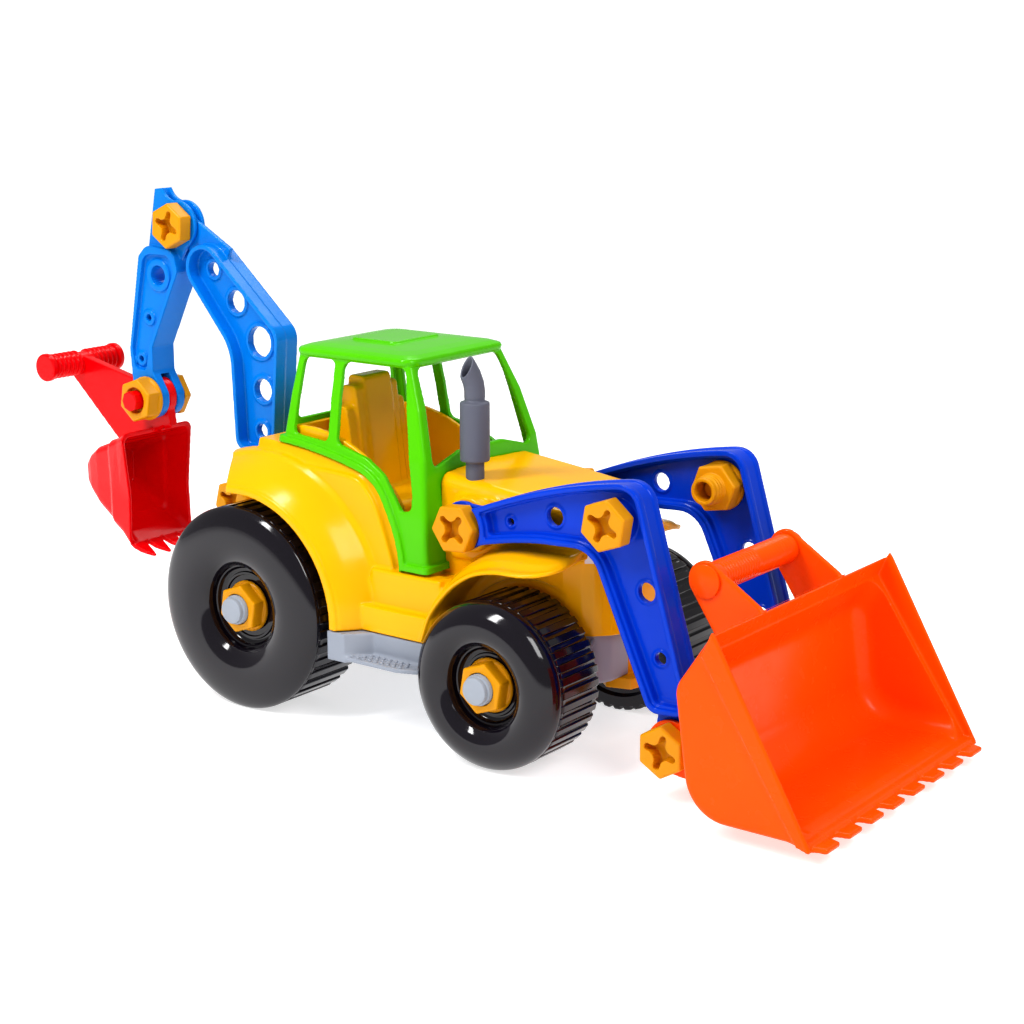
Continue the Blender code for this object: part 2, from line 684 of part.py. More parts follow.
def make_backhoe_bucket():
    stations = [
        (-147.5, 29.8, 58.0, 131.0, 6.0),
        (-156.0, 28.0, 65.0, 127.5, 6.0),
        (-168.0, 25.5, 71.5, 124.5, 6.0),
        (-181.0, 23.0, 79.0, 119.0, 6.0),
        (-191.0, 20.5, 86.5, 112.0, 6.0),
        (-197.5, 18.0, 93.5, 104.0, 4.0),
    ]
    scoop = loft("backhoe_bucket", [rounded_box_loop(*entry) for entry in stations])
    wall_t = 2.2
    inner = [(x + 1.5, w - wall_t, low + wall_t, high - wall_t, 5.0) for x, w, low, high, _ in stations[:-1]]
    inner.insert(0, (-138.0, 30.0, 52.0, 133.0, 5.0))
    inner[-1] = (inner[-1][0] - 2.5, inner[-1][1] - 1.0, inner[-1][2] + 2.0, inner[-1][3] - 2.0, 4.0)
    cavity = loft("cavity", [rounded_box_loop(*entry) for entry in inner])
    lever = arc(CURL_PIVOT, 12.5, 75, -35, 10)
    lever += [(-132.0, 134.0), (-146.8, 127.6), (-172.0, 118.0), (-180.0, 121.0)]
    lever += [(-219.5, 157.0), (-215.5, 172.2), (-172.0, 162.8), (-158.0, 160.0)]
    scoop = join(scoop, slab("lever", lever, -CURL_TAB_HALF_T, CURL_TAB_HALF_T))
    scoop = cut(scoop, cavity)
    teeth = []
    for k in range(4):
        y_mid = (k - 1.5) * 12.6
        loops = []
        for x, z, half_w, half_t in (
            (-150.5, 61.6, 5.4, 1.5), (-143.0, 57.6, 4.4, 1.3), (-133.5, 54.6, 1.2, 0.8),
        ):
            loops.append(
                [
                    (x, y_mid - half_w, z - half_t), (x, y_mid + half_w, z - half_t),
                    (x, y_mid + half_w, z + half_t), (x, y_mid - half_w, z + half_t),
                ]
            )
        teeth.append(loft("tooth", loops))
    profile = [(0.0, -HANDLE_HALF_LEN), (HANDLE_END_R, -HANDLE_HALF_LEN)]
    profile += [(HANDLE_END_R, -HANDLE_HALF_LEN + 2.6)]
    ring_from = -HANDLE_HALF_LEN + 2.6
    pitch = (HANDLE_HALF_LEN - 2.6 - 5.5) / HANDLE_RINGS
    for k in range(HANDLE_RINGS):
        start = ring_from + k * pitch
        profile += [(HANDLE_R, start + 0.3), (HANDLE_R, start + pitch * 0.5)]
        profile += [(HANDLE_RING_R, start + pitch * 0.65), (HANDLE_RING_R, start + pitch)]
    profile.append((HANDLE_R + 0.8, ring_from + HANDLE_RINGS * pitch + 0.4))
    profile += [(r, -y) for r, y in reversed(profile)]
    handle = turned("handle", HANDLE_AXIS, profile, 12)
    scoop = join(scoop, handle, *teeth)
    scoop = cut(scoop, hole(CURL_PIVOT, SHANK_HOLE_R, -20, 20))
    finish(scoop, "red", CURL_PIVOT)
    stud = rod("curl_stud", CURL_PIVOT, SHANK_R, -CURL_STUD_END_Y, CURL_CAP_Y - 1.0, SMALL_ROUND)
    finish(stud, "red", ELBOW)
    right = flange_nut("curl_nut_right", CURL_PIVOT, -BOOM_HALF_T - 0.4, -1, turn_deg=20.0)
    left = slab("curl_nut_left", hexagon(CURL_PIVOT, HEX_FLATS, 0.0), BOOM_HALF_T + 0.4, CURL_CAP_Y)
    left = cut(left, hole(CURL_PIVOT, NUT_HOLE_R, 0, 40, SMALL_ROUND))
    for piece in (right, left):
        finish(piece, "yellow", ELBOW)


def saddle(radius, from_deg, to_deg, count=12):
    return arc(SADDLE_CENTRE, radius, from_deg, to_deg, count)


def make_body_shell():
    # The middle of the body: its top follows the saddle line that the cab sits on.
    profile = [(-28.0, 108.0), (-28.0, 131.0), (-8.0, 133.0), (-8.0, 145.0)]
    profile += saddle(SADDLE_R, 100, 8, 12)
    profile += [(118.0, 88.0), (128.0, 88.0), (128.0, SHELL_BOTTOM_Z)]
    profile += [(-10.0, SHELL_BOTTOM_Z), (-10.0, 108.0)]
    shell = slab("body_shell", profile, -BODY_HALF_W, BODY_HALF_W)
    # Side sills under the doors.
    sills = []
    for side in (-1, 1):
        step = [(60.0, SHELL_BOTTOM_Z), (128.0, SHELL_BOTTOM_Z), (128.0, 70.5), (60.0, 70.5)]
        sills.append(slab("sill", step, side * 50.0, side * 68.0))
        step = [(80.0, 66.0), (128.0, 66.0), (128.0, 89.8), (80.0, 89.8)]
        sills.append(slab("sill", step, side * 50.0, side * 61.5))
    # Rear fenders: stepped arches over the rear wheels.
    fenders = []
    for side in (-1, 1):
        centre = (0.0, REAR_WHEEL_R)
        loops = []
        for y, radius in (
            (50.0, 86.5), (58.0, 85.0), (68.0, 80.0), (76.0, 72.5), (FENDER_HALF_W, FENDER_LIP_R),
        ):
            ring = arc(centre, radius, -1.2, 98, 12) + [(-19.0, 122.5)]
            ring += arc(centre, FENDER_EDGE_R, 102, -1.2, 12)
            loops.append([(x, side * y, z) for x, z in ring])
        fenders.append(loft("fender", loops))
    # The hood, with its top falling a little towards the nose.
    hood_loops = []
    nose = (
        (112.0, 0.0, 0.0), (188.0, 2.5, 0.0), (200.0, 6.5, 1.5), (208.5, 13.0, 5.0), (HOOD_FRONT_X, 21.0, 11.0),
    )
    for x, narrowing, drop in nose:
        half_w = HOOD_HALF_W - narrowing
        top = HOOD_TOP_Z - HOOD_SLOPE * (x - 112.0) - drop
        corners = [(-half_w, 72.0, 0), (half_w, 72.0, 0), (half_w, top, 9), (-half_w, top, 9)]
        hood_loops.append([(x, y, z) for y, z in rounded(corners, 4)])
    hood = loft("hood", hood_loops)
    shell = join(shell, *sills, *fenders, hood, solver="MANIFOLD")
    # Pads that the loader arms pivot on.
    pads = []
    for side in (-1, 1):
        pad = rounded([(118.0, 98.0, 4), (158.0, 100.0, 8), (153.0, 134.0, 8), (122.0, 134.5, 8)], 2)
        pads.append(slab("pad", pad, side * 36.0, side * PAD_Y))
        pads.append(rod("boss", LOADER_PIVOT, PIVOT_BOSS_R, side * 36.0, side * PIVOT_BOSS_Y, 20))
    # Front fenders: flared arches over the front wheels.
    flares = []
    for side in (-1, 1):
        centre = (WHEELBASE, FRONT_WHEEL_R)
        loops = []
        for y, radius in ((36.0, 62.0), (60.0, 61.0), (72.0, 58.5), (77.5, 54.5)):
            ring = arc(centre, radius, 142, 56, 9) + arc(centre, 50.0, 56, 142, 9)
            loops.append([(x, side * y, z) for x, z in ring])
        flares.append(loft("flare", loops))
    shell = join(shell, *pads, *flares, solver="MANIFOLD")
    # Hollow for the driver, open to the cab.
    tub = [(14.0, TUB_FLOOR_Z), (104.0, TUB_FLOOR_Z), (104.0, 200.0), (14.0, 200.0)]
    shell = cut(shell, slab("tub", tub, -TUB_HALF_W + TUB_WALL, TUB_HALF_W - TUB_WALL), solver="MANIFOLD")
    # Raised walls of the tub, a little inside the cab.
    walls = []
    for side in (-1, 1):
        edge = saddle(SADDLE_R + 9.0, 97, 20, 10) + saddle(SADDLE_R - 6.0, 20, 97, 10)
        walls.append(slab("tub_wall", edge, side * (TUB_HALF_W - TUB_WALL), side * TUB_HALF_W))
    back_wall = [(9.5, 120.0), (14.0, 120.0), (14.0, 158.3), (9.5, 158.3)]
    walls.append(slab("tub_wall", back_wall, -TUB_HALF_W + 1.0, TUB_HALF_W - 1.0))
    # Ears at the back that hold the foot of the boom.
    for side in (-1, 1):
        ear = arc(FOOT_PIVOT, 13.0, 90, 270, 10) + [(-20.0, 76.0), (-20.0, 124.0)]
        walls.append(slab("ear", ear, side * FOOT_EAR_IN_Y, side * FOOT_EAR_OUT_Y))
    back = box("back", (-30.0, -30.0, 76.0), (-8.0, 30.0, 124.0))
    shell = join(shell, back, *walls, solver="MANIFOLD")
    # Underside hollow that the chassis and axles fill.
    rear_tunnel = hole((0.0, REAR_WHEEL_R), 12.0, -90, 90)
    front_tunnel = hole((WHEELBASE, FRONT_WHEEL_R), 48.5, -90, -36.2, 40)
    front_tunnel_left = hole((WHEELBASE, FRONT_WHEEL_R), 48.5, 36.2, 90, 40)
    wheel_well = slab("well", circle((0.0, REAR_WHEEL_R), FENDER_EDGE_R - 1.5, 40), -90, -37.0)
    wheel_well_left = slab("well", circle((0.0, REAR_WHEEL_R), FENDER_EDGE_R - 1.5, 40), 37.0, 90)
    belly = box("belly", (-60.0, -31.0, 30.0), (200.0, 31.0, 76.5))
    tunnels = [rear_tunnel, front_tunnel, front_tunnel_left, wheel_well, wheel_well_left, belly]
    shell = cut(shell, *tunnels, solver="MANIFOLD")
    drill = [
        hole(FOOT_PIVOT, SHANK_HOLE_R, -30, 30),
        hole(LOADER_PIVOT, SHANK_HOLE_R, -60, -25),
        hole(LOADER_PIVOT, SHANK_HOLE_R, 25, 60),
        plate("hole", circle(EXHAUST, 5.4, SMALL_ROUND), 130.0, 160.0),
        plate("hole", circle((205.0, 0.0), SHANK_HOLE_R, SMALL_ROUND), 60.0, 92.0),
    ]
    shell = cut(shell, *drill, solver="MANIFOLD")
    finish(shell, "yellow")
    for side, label in ((-1, "right"), (1, "left")):
        lens = plate(
            "headlight_" + label,
            [(201.2, side * 33.3), (207.6, side * 28.3), (208.9, side * 29.9), (202.5, side * 34.9)],
            106.0,
            115.0,
        )
        finish(lens, "clear")


def make_seat():
    seat_bottom = TUB_FLOOR_Z + 0.4
    side_view = [
        (20.0, seat_bottom), (66.0, seat_bottom), (68.0, 116.0), (40.0, 119.0), (33.0, 168.0), (22.0, 168.0),
    ]
    seat = slab("seat", side_view, -25.0, 25.0)
    centre_tier = [(22.5, 150.0), (35.0, 150.0), (31.5, 183.5), (23.0, 183.5)]
    seat = join(seat, slab("tier", centre_tier, -13.0, 13.0))
    finish(seat, "yellow")


def cab_loops(shrink):
    loops = []
    for z, x_rear, x_front, half_w in (
        (80.0, -2.0, 116.5, 58.4), (120.0, 1.0, 113.5, 55.0), (150.0, 4.0, 110.0, 51.5),
        (176.0, 8.0, 102.5, 46.5), (198.0, 11.5, 93.0, 41.0),
    ):
        corners = [
            (x_rear + shrink, -half_w + shrink, 3), (x_front - shrink, -half_w + shrink, 3),
            (x_front - shrink, half_w - shrink, 3), (x_rear + shrink, half_w - shrink, 3),
        ]
        loops.append([(x, y, z) for x, y in rounded(corners, 2)])
    return loops


def make_cab():
    cab = loft("cab_frame", cab_loops(0.0))
    # Flange along the foot of the side walls.
    flange = saddle(SADDLE_R + 5.5, 101, 15, 12) + [(98.5, 88.0), (117.5, 88.0), (117.5, 95.0)]
    flange += [(100.0, 95.0)] + saddle(SADDLE_R - 2.0, 15, 101, 12)
    flange_slab = slab("flange", flange, -59.6, 59.6)
    trim = cut(flange_slab, loft("trim", cab_loops(1.5)))
    cab = join(cab, trim)
    roof_loops = []
    for z, grow in ((196.5, 1.2), (200.0, 1.6), (204.0, -5.0), (207.0, -16.0), (208.8, -28.0)):
        corners = [
            (11.5 - grow, -41.0 - grow, 8), (93.0 + grow, -41.0 - grow, 8),
            (93.0 + grow, 41.0 + grow, 8), (11.5 - grow, 41.0 + grow, 8),
        ]
        roof_loops.append([(x, y, z) for x, y in rounded(corners, 3)])
    cab = join(cab, loft("roof", roof_loops))
    below = saddle(SADDLE_R + CAB_FLOOR_GAP, 112, 11.7, 14)
    below += [(135.0, 90.3), (135.0, 30.0), (-40.0, 30.0), (-40.0, 146.0)]
    hood_gap = 1.0
    top = HOOD_TOP_Z + hood_gap
    hood_side = HOOD_HALF_W + hood_gap
    hood_way = rounded(
        [(-hood_side, 60.0, 0), (hood_side, 60.0, 0), (hood_side, top, 9), (-hood_side, top, 9)], 4
    )
    inside = loft("inside", cab_loops(CAB_WALL))
    cab = cut(cab, inside, slab("below", below, -70, 70), wall("hood_way", hood_way, 60.0, 140.0))
    windows = []
    rear_side = rounded([(13.0, 155.5, 4), (37.0, 153.5, 4), (43.0, 193.0, 4), (23.0, 193.0, 5)])
    door = rounded([
        (47.0, 152.5, 5), (76.0, 139.0, 18), (91.5, 112.5, 3), (101.0, 112.5, 3), (104.0, 150.0, 0),
        (94.0, 192.5, 5), (51.5, 193.0, 4),
    ])
    windows.append(slab("window", rear_side, -70, 70))
    windows.append(slab("window", door, -70, 70))
    screen_low = top + 7.0
    front = rounded([
        (-46.5, 133.0, 5), (-37.0, screen_low - 4.0, 8), (-25.0, screen_low, 6), (25.0, screen_low, 6),
        (37.0, screen_low - 4.0, 8), (46.5, 133.0, 5), (37.0, 193.0, 5), (-37.0, 193.0, 5),
    ])
    windows.append(wall("window", front, 85.0, 130.0))
    rear = rounded([(-42.0, 160.5, 5), (42.0, 160.5, 5), (34.0, 193.0, 5), (-34.0, 193.0, 5)])
    windows.append(wall("window", rear, -20.0, 25.0))
    cab = cut(cab, *windows)
    finish(cab, "green")


def make_exhaust():
    x, y = EXHAUST
    levels = ((141.2, 5.0), (149.8, 5.0), (150.6, 8.0), (182.0, 8.0), (183.0, 5.4), (194.0, 5.4))
    loops = [[(px, py, z) for px, py in circle((x, y), radius, 16)] for z, radius in levels]
    stack = loft("exhaust_stack", loops)
    mouth = []
    for shift, z, tilt in ((0.0, 190.0, 0.0), (-0.6, 197.0, 0.25), (-4.5, 206.0, 0.65)):
        ring = []
        for px, py in circle((0.0, 0.0), 5.4, 16):
            ring.append((x + shift + px * math.cos(tilt), y + py + shift * 0.4, z + px * math.sin(tilt)))
        mouth.append(ring)
    stack = join(stack, loft("mouth", mouth))
    bore = []
    for shift, z, tilt in ((-1.5, 199.5, 0.45), (-5.4, 208.0, 0.65)):
        bore.append([
            (x + shift + px * math.cos(tilt), y + py + shift * 0.4, z + px * math.sin(tilt))
            for px, py in circle((0.0, 0.0), 4.0, 16)
        ])
    stack = cut(stack, loft("bore", bore))
    finish(stack, "grey")


def make_chassis():
    beam = box("chassis", (-24.0, -30.0, CHASSIS_BOTTOM_Z), (196.0, 30.0, 75.8))
    nose_outline = rounded([
        (150.0, -33.0, 0), (204.0, -33.0, 10), (209.5, -20.0, 6), (209.5, 20.0, 6), (204.0, 33.0, 10),
        (150.0, 33.0, 0),
    ])
    nose = plate("nose", nose_outline, CHASSIS_BOTTOM_Z, 71.4)
    skirts = []
    for side in (-1, 1):
        skirt = [
            (63.5, side * 20.0), (63.5, side * 79.5), (75.5, side * 79.5), (87.0, side * 67.5),
            (124.0, side * 67.5), (124.0, side * 20.0),
        ]
        skirts.append(plate("skirt", skirt, CHASSIS_BOTTOM_Z, CHASSIS_TOP_Z))
        tread = [
            (74.0, side * 60.0), (74.0, side * 79.5), (112.0, side * 79.5), (124.0, side * 75.0),
            (124.0, side * 60.0),
        ]
        skirts.append(plate("tread", tread, CHASSIS_BOTTOM_Z + 1.0, CHASSIS_BOTTOM_Z + 3.5))
    chassis = join(beam, nose, *skirts)
    axle_hole_r = AXLE_R + RUNNING_GAP
    tools = [hole((0.0, REAR_WHEEL_R), axle_hole_r, -60, 60)]
    tools.append(hole((WHEELBASE, FRONT_WHEEL_R), axle_hole_r, -60, 60))
    tools.append(plate("hole", circle((205.0, 0.0), SHANK_HOLE_R, SMALL_ROUND), 20.0, 92.0))
    chassis = cut(chassis, *tools)
    finish(chassis, "grey")
    hexagon_plan = circle((205.0, 0.0), HEX_FLATS / math.sqrt(3), 6, 0.3)
    bolt = plate("chassis_bolt", hexagon_plan, 33.6, CHASSIS_BOTTOM_Z - 0.4)
    bolt = join(bolt, plate("shank", circle((205.0, 0.0), SHANK_R, SMALL_ROUND), 36.0, 86.0))
    finish(bolt, "yellow")


def make_body_fasteners():
    pivot_bolt = hex_bolt("loader_pivot_bolt_right", LOADER_PIVOT, -(ARM_MID_Y + TAB_T / 2 + 0.4), -30.0, 5.0)
    finish(mirrored(pivot_bolt, "loader_pivot_bolt_left"), "yellow")
    finish(pivot_bolt, "yellow")
    foot_bolt = hex_bolt("boom_foot_bolt", FOOT_PIVOT, -FOOT_EAR_OUT_Y - 0.4, 26.0, 15.0)
    foot_nut = flange_nut("boom_foot_nut", FOOT_PIVOT, FOOT_EAR_OUT_Y + 0.4, 1, turn_deg=15.0)
    finish(foot_bolt, "yellow")
    finish(foot_nut, "yellow")


clear_scene()
make_wheel("rear", (0.0, REAR_WHEEL_R), REAR_WHEEL_R, REAR_RIBS)
make_wheel("front", (WHEELBASE, FRONT_WHEEL_R), FRONT_WHEEL_R, FRONT_RIBS)
make_axle("rear", (0.0, REAR_WHEEL_R))
make_axle("front", (WHEELBASE, FRONT_WHEEL_R))
make_loader_group()
make_loader_bucket()
make_boom()
make_dipper()
make_backhoe_bucket()
make_body_shell()
make_seat()
make_cab()
make_exhaust()
make_chassis()
make_body_fasteners()
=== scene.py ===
"""Looks of the toy backhoe loader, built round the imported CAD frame.

Shapes are drawn in millimetres from the point on the floor under the rear axle:
X towards the loader bucket, Y towards the vehicle's left, Z up. add_object moves
them into the frame's metres.
"""

import json
import math

import bmesh
import bpy
from mathutils import Matrix, Vector

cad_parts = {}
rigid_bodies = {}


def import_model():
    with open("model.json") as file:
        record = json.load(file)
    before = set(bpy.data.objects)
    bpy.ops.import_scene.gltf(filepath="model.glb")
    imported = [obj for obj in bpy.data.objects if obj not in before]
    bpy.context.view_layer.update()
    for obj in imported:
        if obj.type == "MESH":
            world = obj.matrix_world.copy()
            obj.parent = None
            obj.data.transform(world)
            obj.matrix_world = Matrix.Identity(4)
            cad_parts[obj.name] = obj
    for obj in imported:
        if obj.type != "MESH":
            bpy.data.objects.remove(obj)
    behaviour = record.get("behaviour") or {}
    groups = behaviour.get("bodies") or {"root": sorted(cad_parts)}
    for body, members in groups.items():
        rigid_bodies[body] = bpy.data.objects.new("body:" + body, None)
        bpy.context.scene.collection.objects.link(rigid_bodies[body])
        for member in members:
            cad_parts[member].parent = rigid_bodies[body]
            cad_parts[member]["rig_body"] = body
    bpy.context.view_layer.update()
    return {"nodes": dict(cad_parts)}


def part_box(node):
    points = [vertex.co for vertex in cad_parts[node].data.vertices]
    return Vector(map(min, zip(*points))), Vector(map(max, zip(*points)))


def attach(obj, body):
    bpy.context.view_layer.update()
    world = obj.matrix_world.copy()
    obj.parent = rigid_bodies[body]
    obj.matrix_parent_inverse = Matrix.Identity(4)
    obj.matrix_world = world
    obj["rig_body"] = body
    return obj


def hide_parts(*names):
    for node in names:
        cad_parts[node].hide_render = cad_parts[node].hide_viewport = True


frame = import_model()

MM = 0.001
axle_low, axle_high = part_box("rear_axle")
REAR_AXLE_X = (axle_low.x + axle_high.x) / 2

# Camera: where it looks, and how it is turned and stands off.
VIEW_TARGET = (-243.65, 499.34, -33.74)
VIEW_AZIMUTH = 36.79
VIEW_ELEVATION = 13.53
VIEW_ROLL = -0.11
VIEW_DISTANCE = 1742.11
CAMERA_LENS = 70.73
SENSOR = 36.0

# Studio.
ROOM_LIGHT = 0.42
FLOOR_GLOW = 0.55
FLOOR_HALF_SIZE = 5.0
AIM_HEIGHT = 0.1

# Wheels and axles.
TYRE_INNER_Y = 40.0
REAR_WHEEL_R = 58.0
FRONT_WHEEL_R = 45.0
REAR_WHEEL = (0.0, REAR_WHEEL_R)
FRONT_WHEEL = (171.1, FRONT_WHEEL_R)
REAR_SEAM_Y = 78.6
FRONT_SEAM_Y = 73.4
DISH_Y = 86.0
HUB_FLOOR_Y = 72.8
RIBS = 40
RIB_SHARE = 0.56
CHANNEL_DEPTH = 1.3
CHANNEL_SLOPE = 5.0
AXLE_R = 8.3
AXLE_END_Y = 88.6
AXLE_NUT_FLATS = 24.5
AXLE_NUT_FLANGE_R = 14.6
AXLE_NUT_INNER_Y = 73.2
AXLE_NUT_OUTER_Y = 83.6
WHEEL_TURNS = 128
RUNNING_GAP = 0.4

# Toy bolts and nuts.
HEX_FLATS = 24.0
HEAD_T = 9.5
SHANK_R = 5.0
SHANK_HOLE_R = 5.4
NUT_HOLE_R = 5.3
FLANGE_R = 13.6
FLANGE_T = 2.5
NUT_T = 9.0
COLLAR_R = 8.0
COLLAR_BORE_R = 5.3
ARM_HALF_W = 1.9
ARM_LOBE_R = 4.0
ARM_LONG = 9.3
RECESS_DEEP = 6.5

# Loader arms and bucket.
LOADER_PIVOT = (136.0, 119.4)
KNEE = (234.3, 136.7)
BUCKET_PIVOT = (268.8, 26.6)
ARM_MID_Y = 49.9
ARM_HALF_T = 8.0
ARM_HALF_WEB = 1.2
REAR_CUT_R = 15.4
KNEE_SEAT_Y = 57.2
TAB_HALF_T = 1.5
BUCKET_HALF_W = 91.6
BUCKET_BORDER = 1.2
BUCKET_WALL = 3.0
RIM = (312.5, 102.8)
LIP = (367.0, 6.6)
GRIP_AXIS = (278.7, 110.8)
GRIP_R = 7.8
GRIP_RIDGES = 13
GRIP_PITCH = 2.5
BUCKET_TEETH = 8
BUCKET_SIDE_R = (0, 12, 22, 6, 0)

# Backhoe.
FOOT_PIVOT = (-66.0, 98.0)
ELBOW = (-117.3, 259.1)
CURL_PIVOT = (-143.9, 151.7)
BOOM_HALF_T = 9.2
BOOM_HALF_WEB = 1.2
FORK_IN_Y = 2.0
FORK_OUT_Y = 4.4
CURL_FORK_IN_Y = 3.5
CURL_CAP_Y = 14.0
CURL_STUD_END_Y = 25.5
HANDLE_AXIS = (-215.1, 166.2)
HANDLE_HALF_LEN = 29.8

# Body.
BODY_HALF_W = 57.0
FENDER_EDGE_R = 65.0
SADDLE_CENTRE = (20.0, 75.0)
SADDLE_R = 75.0
# Side view of the cab's lower edge and of the body's shoulder below it, rear to front.
CAB_LINE = (
    (-9.0, 150.6), (14.0, 149.3), (36.0, 146.7), (57.7, 142.4), (68.5, 139.4), (76.5, 134.9), (83.0, 128.0),
    (91.7, 113.0), (97.0, 98.0), (98.6, 86.0),
)
SHOULDER_LINE = (
    (-9.0, 141.6), (10.0, 140.8), (31.0, 139.2), (55.0, 138.4), (68.0, 136.2), (76.0, 129.0), (81.6, 119.3),
    (87.0, 105.5), (92.4, 89.8), (93.5, 84.0),
)
# Lower edge of a front mudguard, from the sill over the wheel and round to the nose.
MUDGUARD_LINE = (
    (122.5, 70.0, 57.5), (124.6, 70.2, 64.0), (128.6, 70.4, 73.5), (137.0, 70.5, 84.5),
    (145.5, 70.5, 92.6), (157.0, 70.5, 99.3), (170.6, 70.4, 102.6), (184.6, 69.6, 103.0),
    (195.0, 66.0, 104.0), (201.5, 59.0, 105.8), (204.0, 50.0, 107.4), (203.0, 41.0, 108.6),
    (201.0, 36.5, 109.0),
)
TUB_HALF_W = 46.0
TUB_WALL = 3.0
TUB_FLOOR_Z = 86.0
HOOD_TOP_Z = 143.6
HOOD_SLOPE = 0.11
MUDGUARD_ROOT_Y = 36.0
HOOD_HALF_W = 40.0
HOOD_CORNER_R = 7.0
SHELL_BOTTOM_Z = 56.5
CHASSIS_TOP_Z = 56.0
CHASSIS_BOTTOM_Z = 40.0
CHASSIS_BOLT = (205.0, 0.0)
EXHAUST = (128.5, -31.0)
STACK_LEAN = (0.55, 0.835)
STACK_FACE = (-0.42, -0.74, 0.42)
STACK_CUT = (-3.6, -5.4, 196.5)
PAD_Y = 41.3
PIVOT_BOSS_R = 14.8
PIVOT_BOSS_Y = 47.8
CAB_WALL = 3.0
CAB_TRIM_W = 3.8
CAB_TRIM_PROUD = 2.1
LINE_STEPS = 5
# Half the length of a cutter that goes right across the body.
ACROSS = 70.0


# ---------------------------------------------------------------- outlines

def circle(centre, radius, count=48, start=0.0):
    turn = 2 * math.pi / count
    return [
        (centre[0] + radius * math.cos(start + i * turn), centre[1] + radius * math.sin(start + i * turn))
        for i in range(count)
    ]


def arc(centre, radius, from_deg, to_deg, count):
    angles = [math.radians(from_deg + (to_deg - from_deg) * i / (count - 1)) for i in range(count)]
    return [(centre[0] + radius * math.cos(a), centre[1] + radius * math.sin(a)) for a in angles]


def bend(start, control, end, count):
    """Points on a smooth bend from start to end, pulled towards control; start is left out."""
    points = []
    for i in range(1, count + 1):
        t = i / count
        u = 1 - t
        points.append(tuple(u * u * start[k] + 2 * u * t * control[k] + t * t * end[k] for k in (0, 1)))
    return points


def rounded(corners, steps=8):
    """Polygon whose corners (a, b, radius) are rounded off."""
    points = []
    for i, (a, b, radius) in enumerate(corners):
        here = Vector((a, b))
        if radius <= 0:
            points.append((a, b))
            continue
        before = (Vector(corners[i - 1][:2]) - here).normalized()
        after = (Vector(corners[(i + 1) % len(corners)][:2]) - here).normalized()
        half = before.angle(after) / 2
        run = radius / math.tan(half)
        middle = here + (before + after).normalized() * (radius / math.sin(half))
        first = here + before * run - middle
        last = here + after * run - middle
        sweep = first.angle_signed(last)
        for k in range(steps + 1):
            turn = -sweep * k / steps
            cos_t = math.cos(turn)
            sin_t = math.sin(turn)
            points.append((
                middle[0] + first[0] * cos_t - first[1] * sin_t,
                middle[1] + first[0] * sin_t + first[1] * cos_t,
            ))
    return points


def rectangle(low, high):
    return [(low[0], low[1]), (high[0], low[1]), (high[0], high[1]), (low[0], high[1])]


def round_plan(x_from, x_to, half_w, radius, steps=8):
    """Rectangle with round corners, as wide to the right of the middle as to the left."""
    corners = rectangle((x_from, -half_w), (x_to, half_w))
    return rounded([(x, y, radius) for x, y in corners], steps)


def signed_area(outline):
    count = len(outline)
    return sum(
        outline[i][0] * outline[(i + 1) % count][1] - outline[(i + 1) % count][0] * outline[i][1]
        for i in range(count)
    ) / 2


def distance_to(point, start, end):
    along = end - start
    share = max(0.0, min(1.0, (point - start).dot(along) / max(along.length_squared, 1e-9)))
    return (point - start - along * share).length


def inset(outline, distance):
    """Outline moved inwards by a distance; points that would end up too near an edge are dropped."""
    sign = 1 if signed_area(outline) > 0 else -1
    count = len(outline)
    corners = [Vector(point) for point in outline]
    points = []
    for i in range(count):
        incoming = (corners[i] - corners[i - 1]).normalized()
        outgoing = (corners[(i + 1) % count] - corners[i]).normalized()
        normal_in = Vector((-incoming.y, incoming.x)) * sign
        normal_out = Vector((-outgoing.y, outgoing.x)) * sign
        middle = (normal_in + normal_out).normalized()
        moved = corners[i] + middle * (distance / max(0.3, middle.dot(normal_in)))
        nearest = min(distance_to(moved, corners[k - 1], corners[k]) for k in range(count))
        if nearest > abs(distance) * 0.97:
            points.append(tuple(moved))
    return points


def spline(points, steps):
    """Smooth open curve through points of two values each."""
    result = []
    for i in range(len(points) - 1):
        p0 = points[max(i - 1, 0)]
        p1 = points[i]
        p2 = points[i + 1]
        p3 = points[min(i + 2, len(points) - 1)]
        for k in range(steps):
            t = k / steps
            result.append(tuple(
                0.5 * (
                    2 * b + (c - a) * t + (2 * a - 5 * b + 4 * c - d) * t * t
                    + (3 * b - a - 3 * c + d) * t ** 3
                )
                for a, b, c, d in zip(p0, p1, p2, p3)
            ))
    result.append(tuple(points[-1]))
    return result


# ---------------------------------------------------------------- solids

def place(name, data):
    item = bpy.data.objects.new(name, data)
    bpy.context.scene.collection.objects.link(item)
    return item


def add_object(name, points, faces):
    """A mesh object from points in millimetres, with its faces turned outwards."""
    mesh = bpy.data.meshes.new(name)
    mesh.from_pydata([(x * MM + REAR_AXLE_X, y * MM, z * MM) for x, y, z in points], [], faces)
    shape = bmesh.new()
    shape.from_mesh(mesh)
    bmesh.ops.recalc_face_normals(shape, faces=shape.faces)
    shape.to_mesh(mesh)
    shape.free()
    return place(name, mesh)


def loft(name, loops):
    """Closed solid through loops that all have the same number of points."""
    count = len(loops[0])
    points = [point for loop in loops for point in loop]
    faces = []
    for level in range(len(loops) - 1):
        low = level * count
        high = low + count
        for i in range(count):
            j = (i + 1) % count
            faces.append((low + i, low + j, high + j, high + i))
    faces.append(tuple(range(count)))
    faces.append(tuple(range(len(points) - count, len(points))))
    return add_object(name, points, faces)


def slab(name, outline, y_from, y_to):
    """Outline in the side plane (x, z), given thickness along Y."""
    return loft(name, [[(x, y, z) for x, z in outline] for y in (y_from, y_to)])


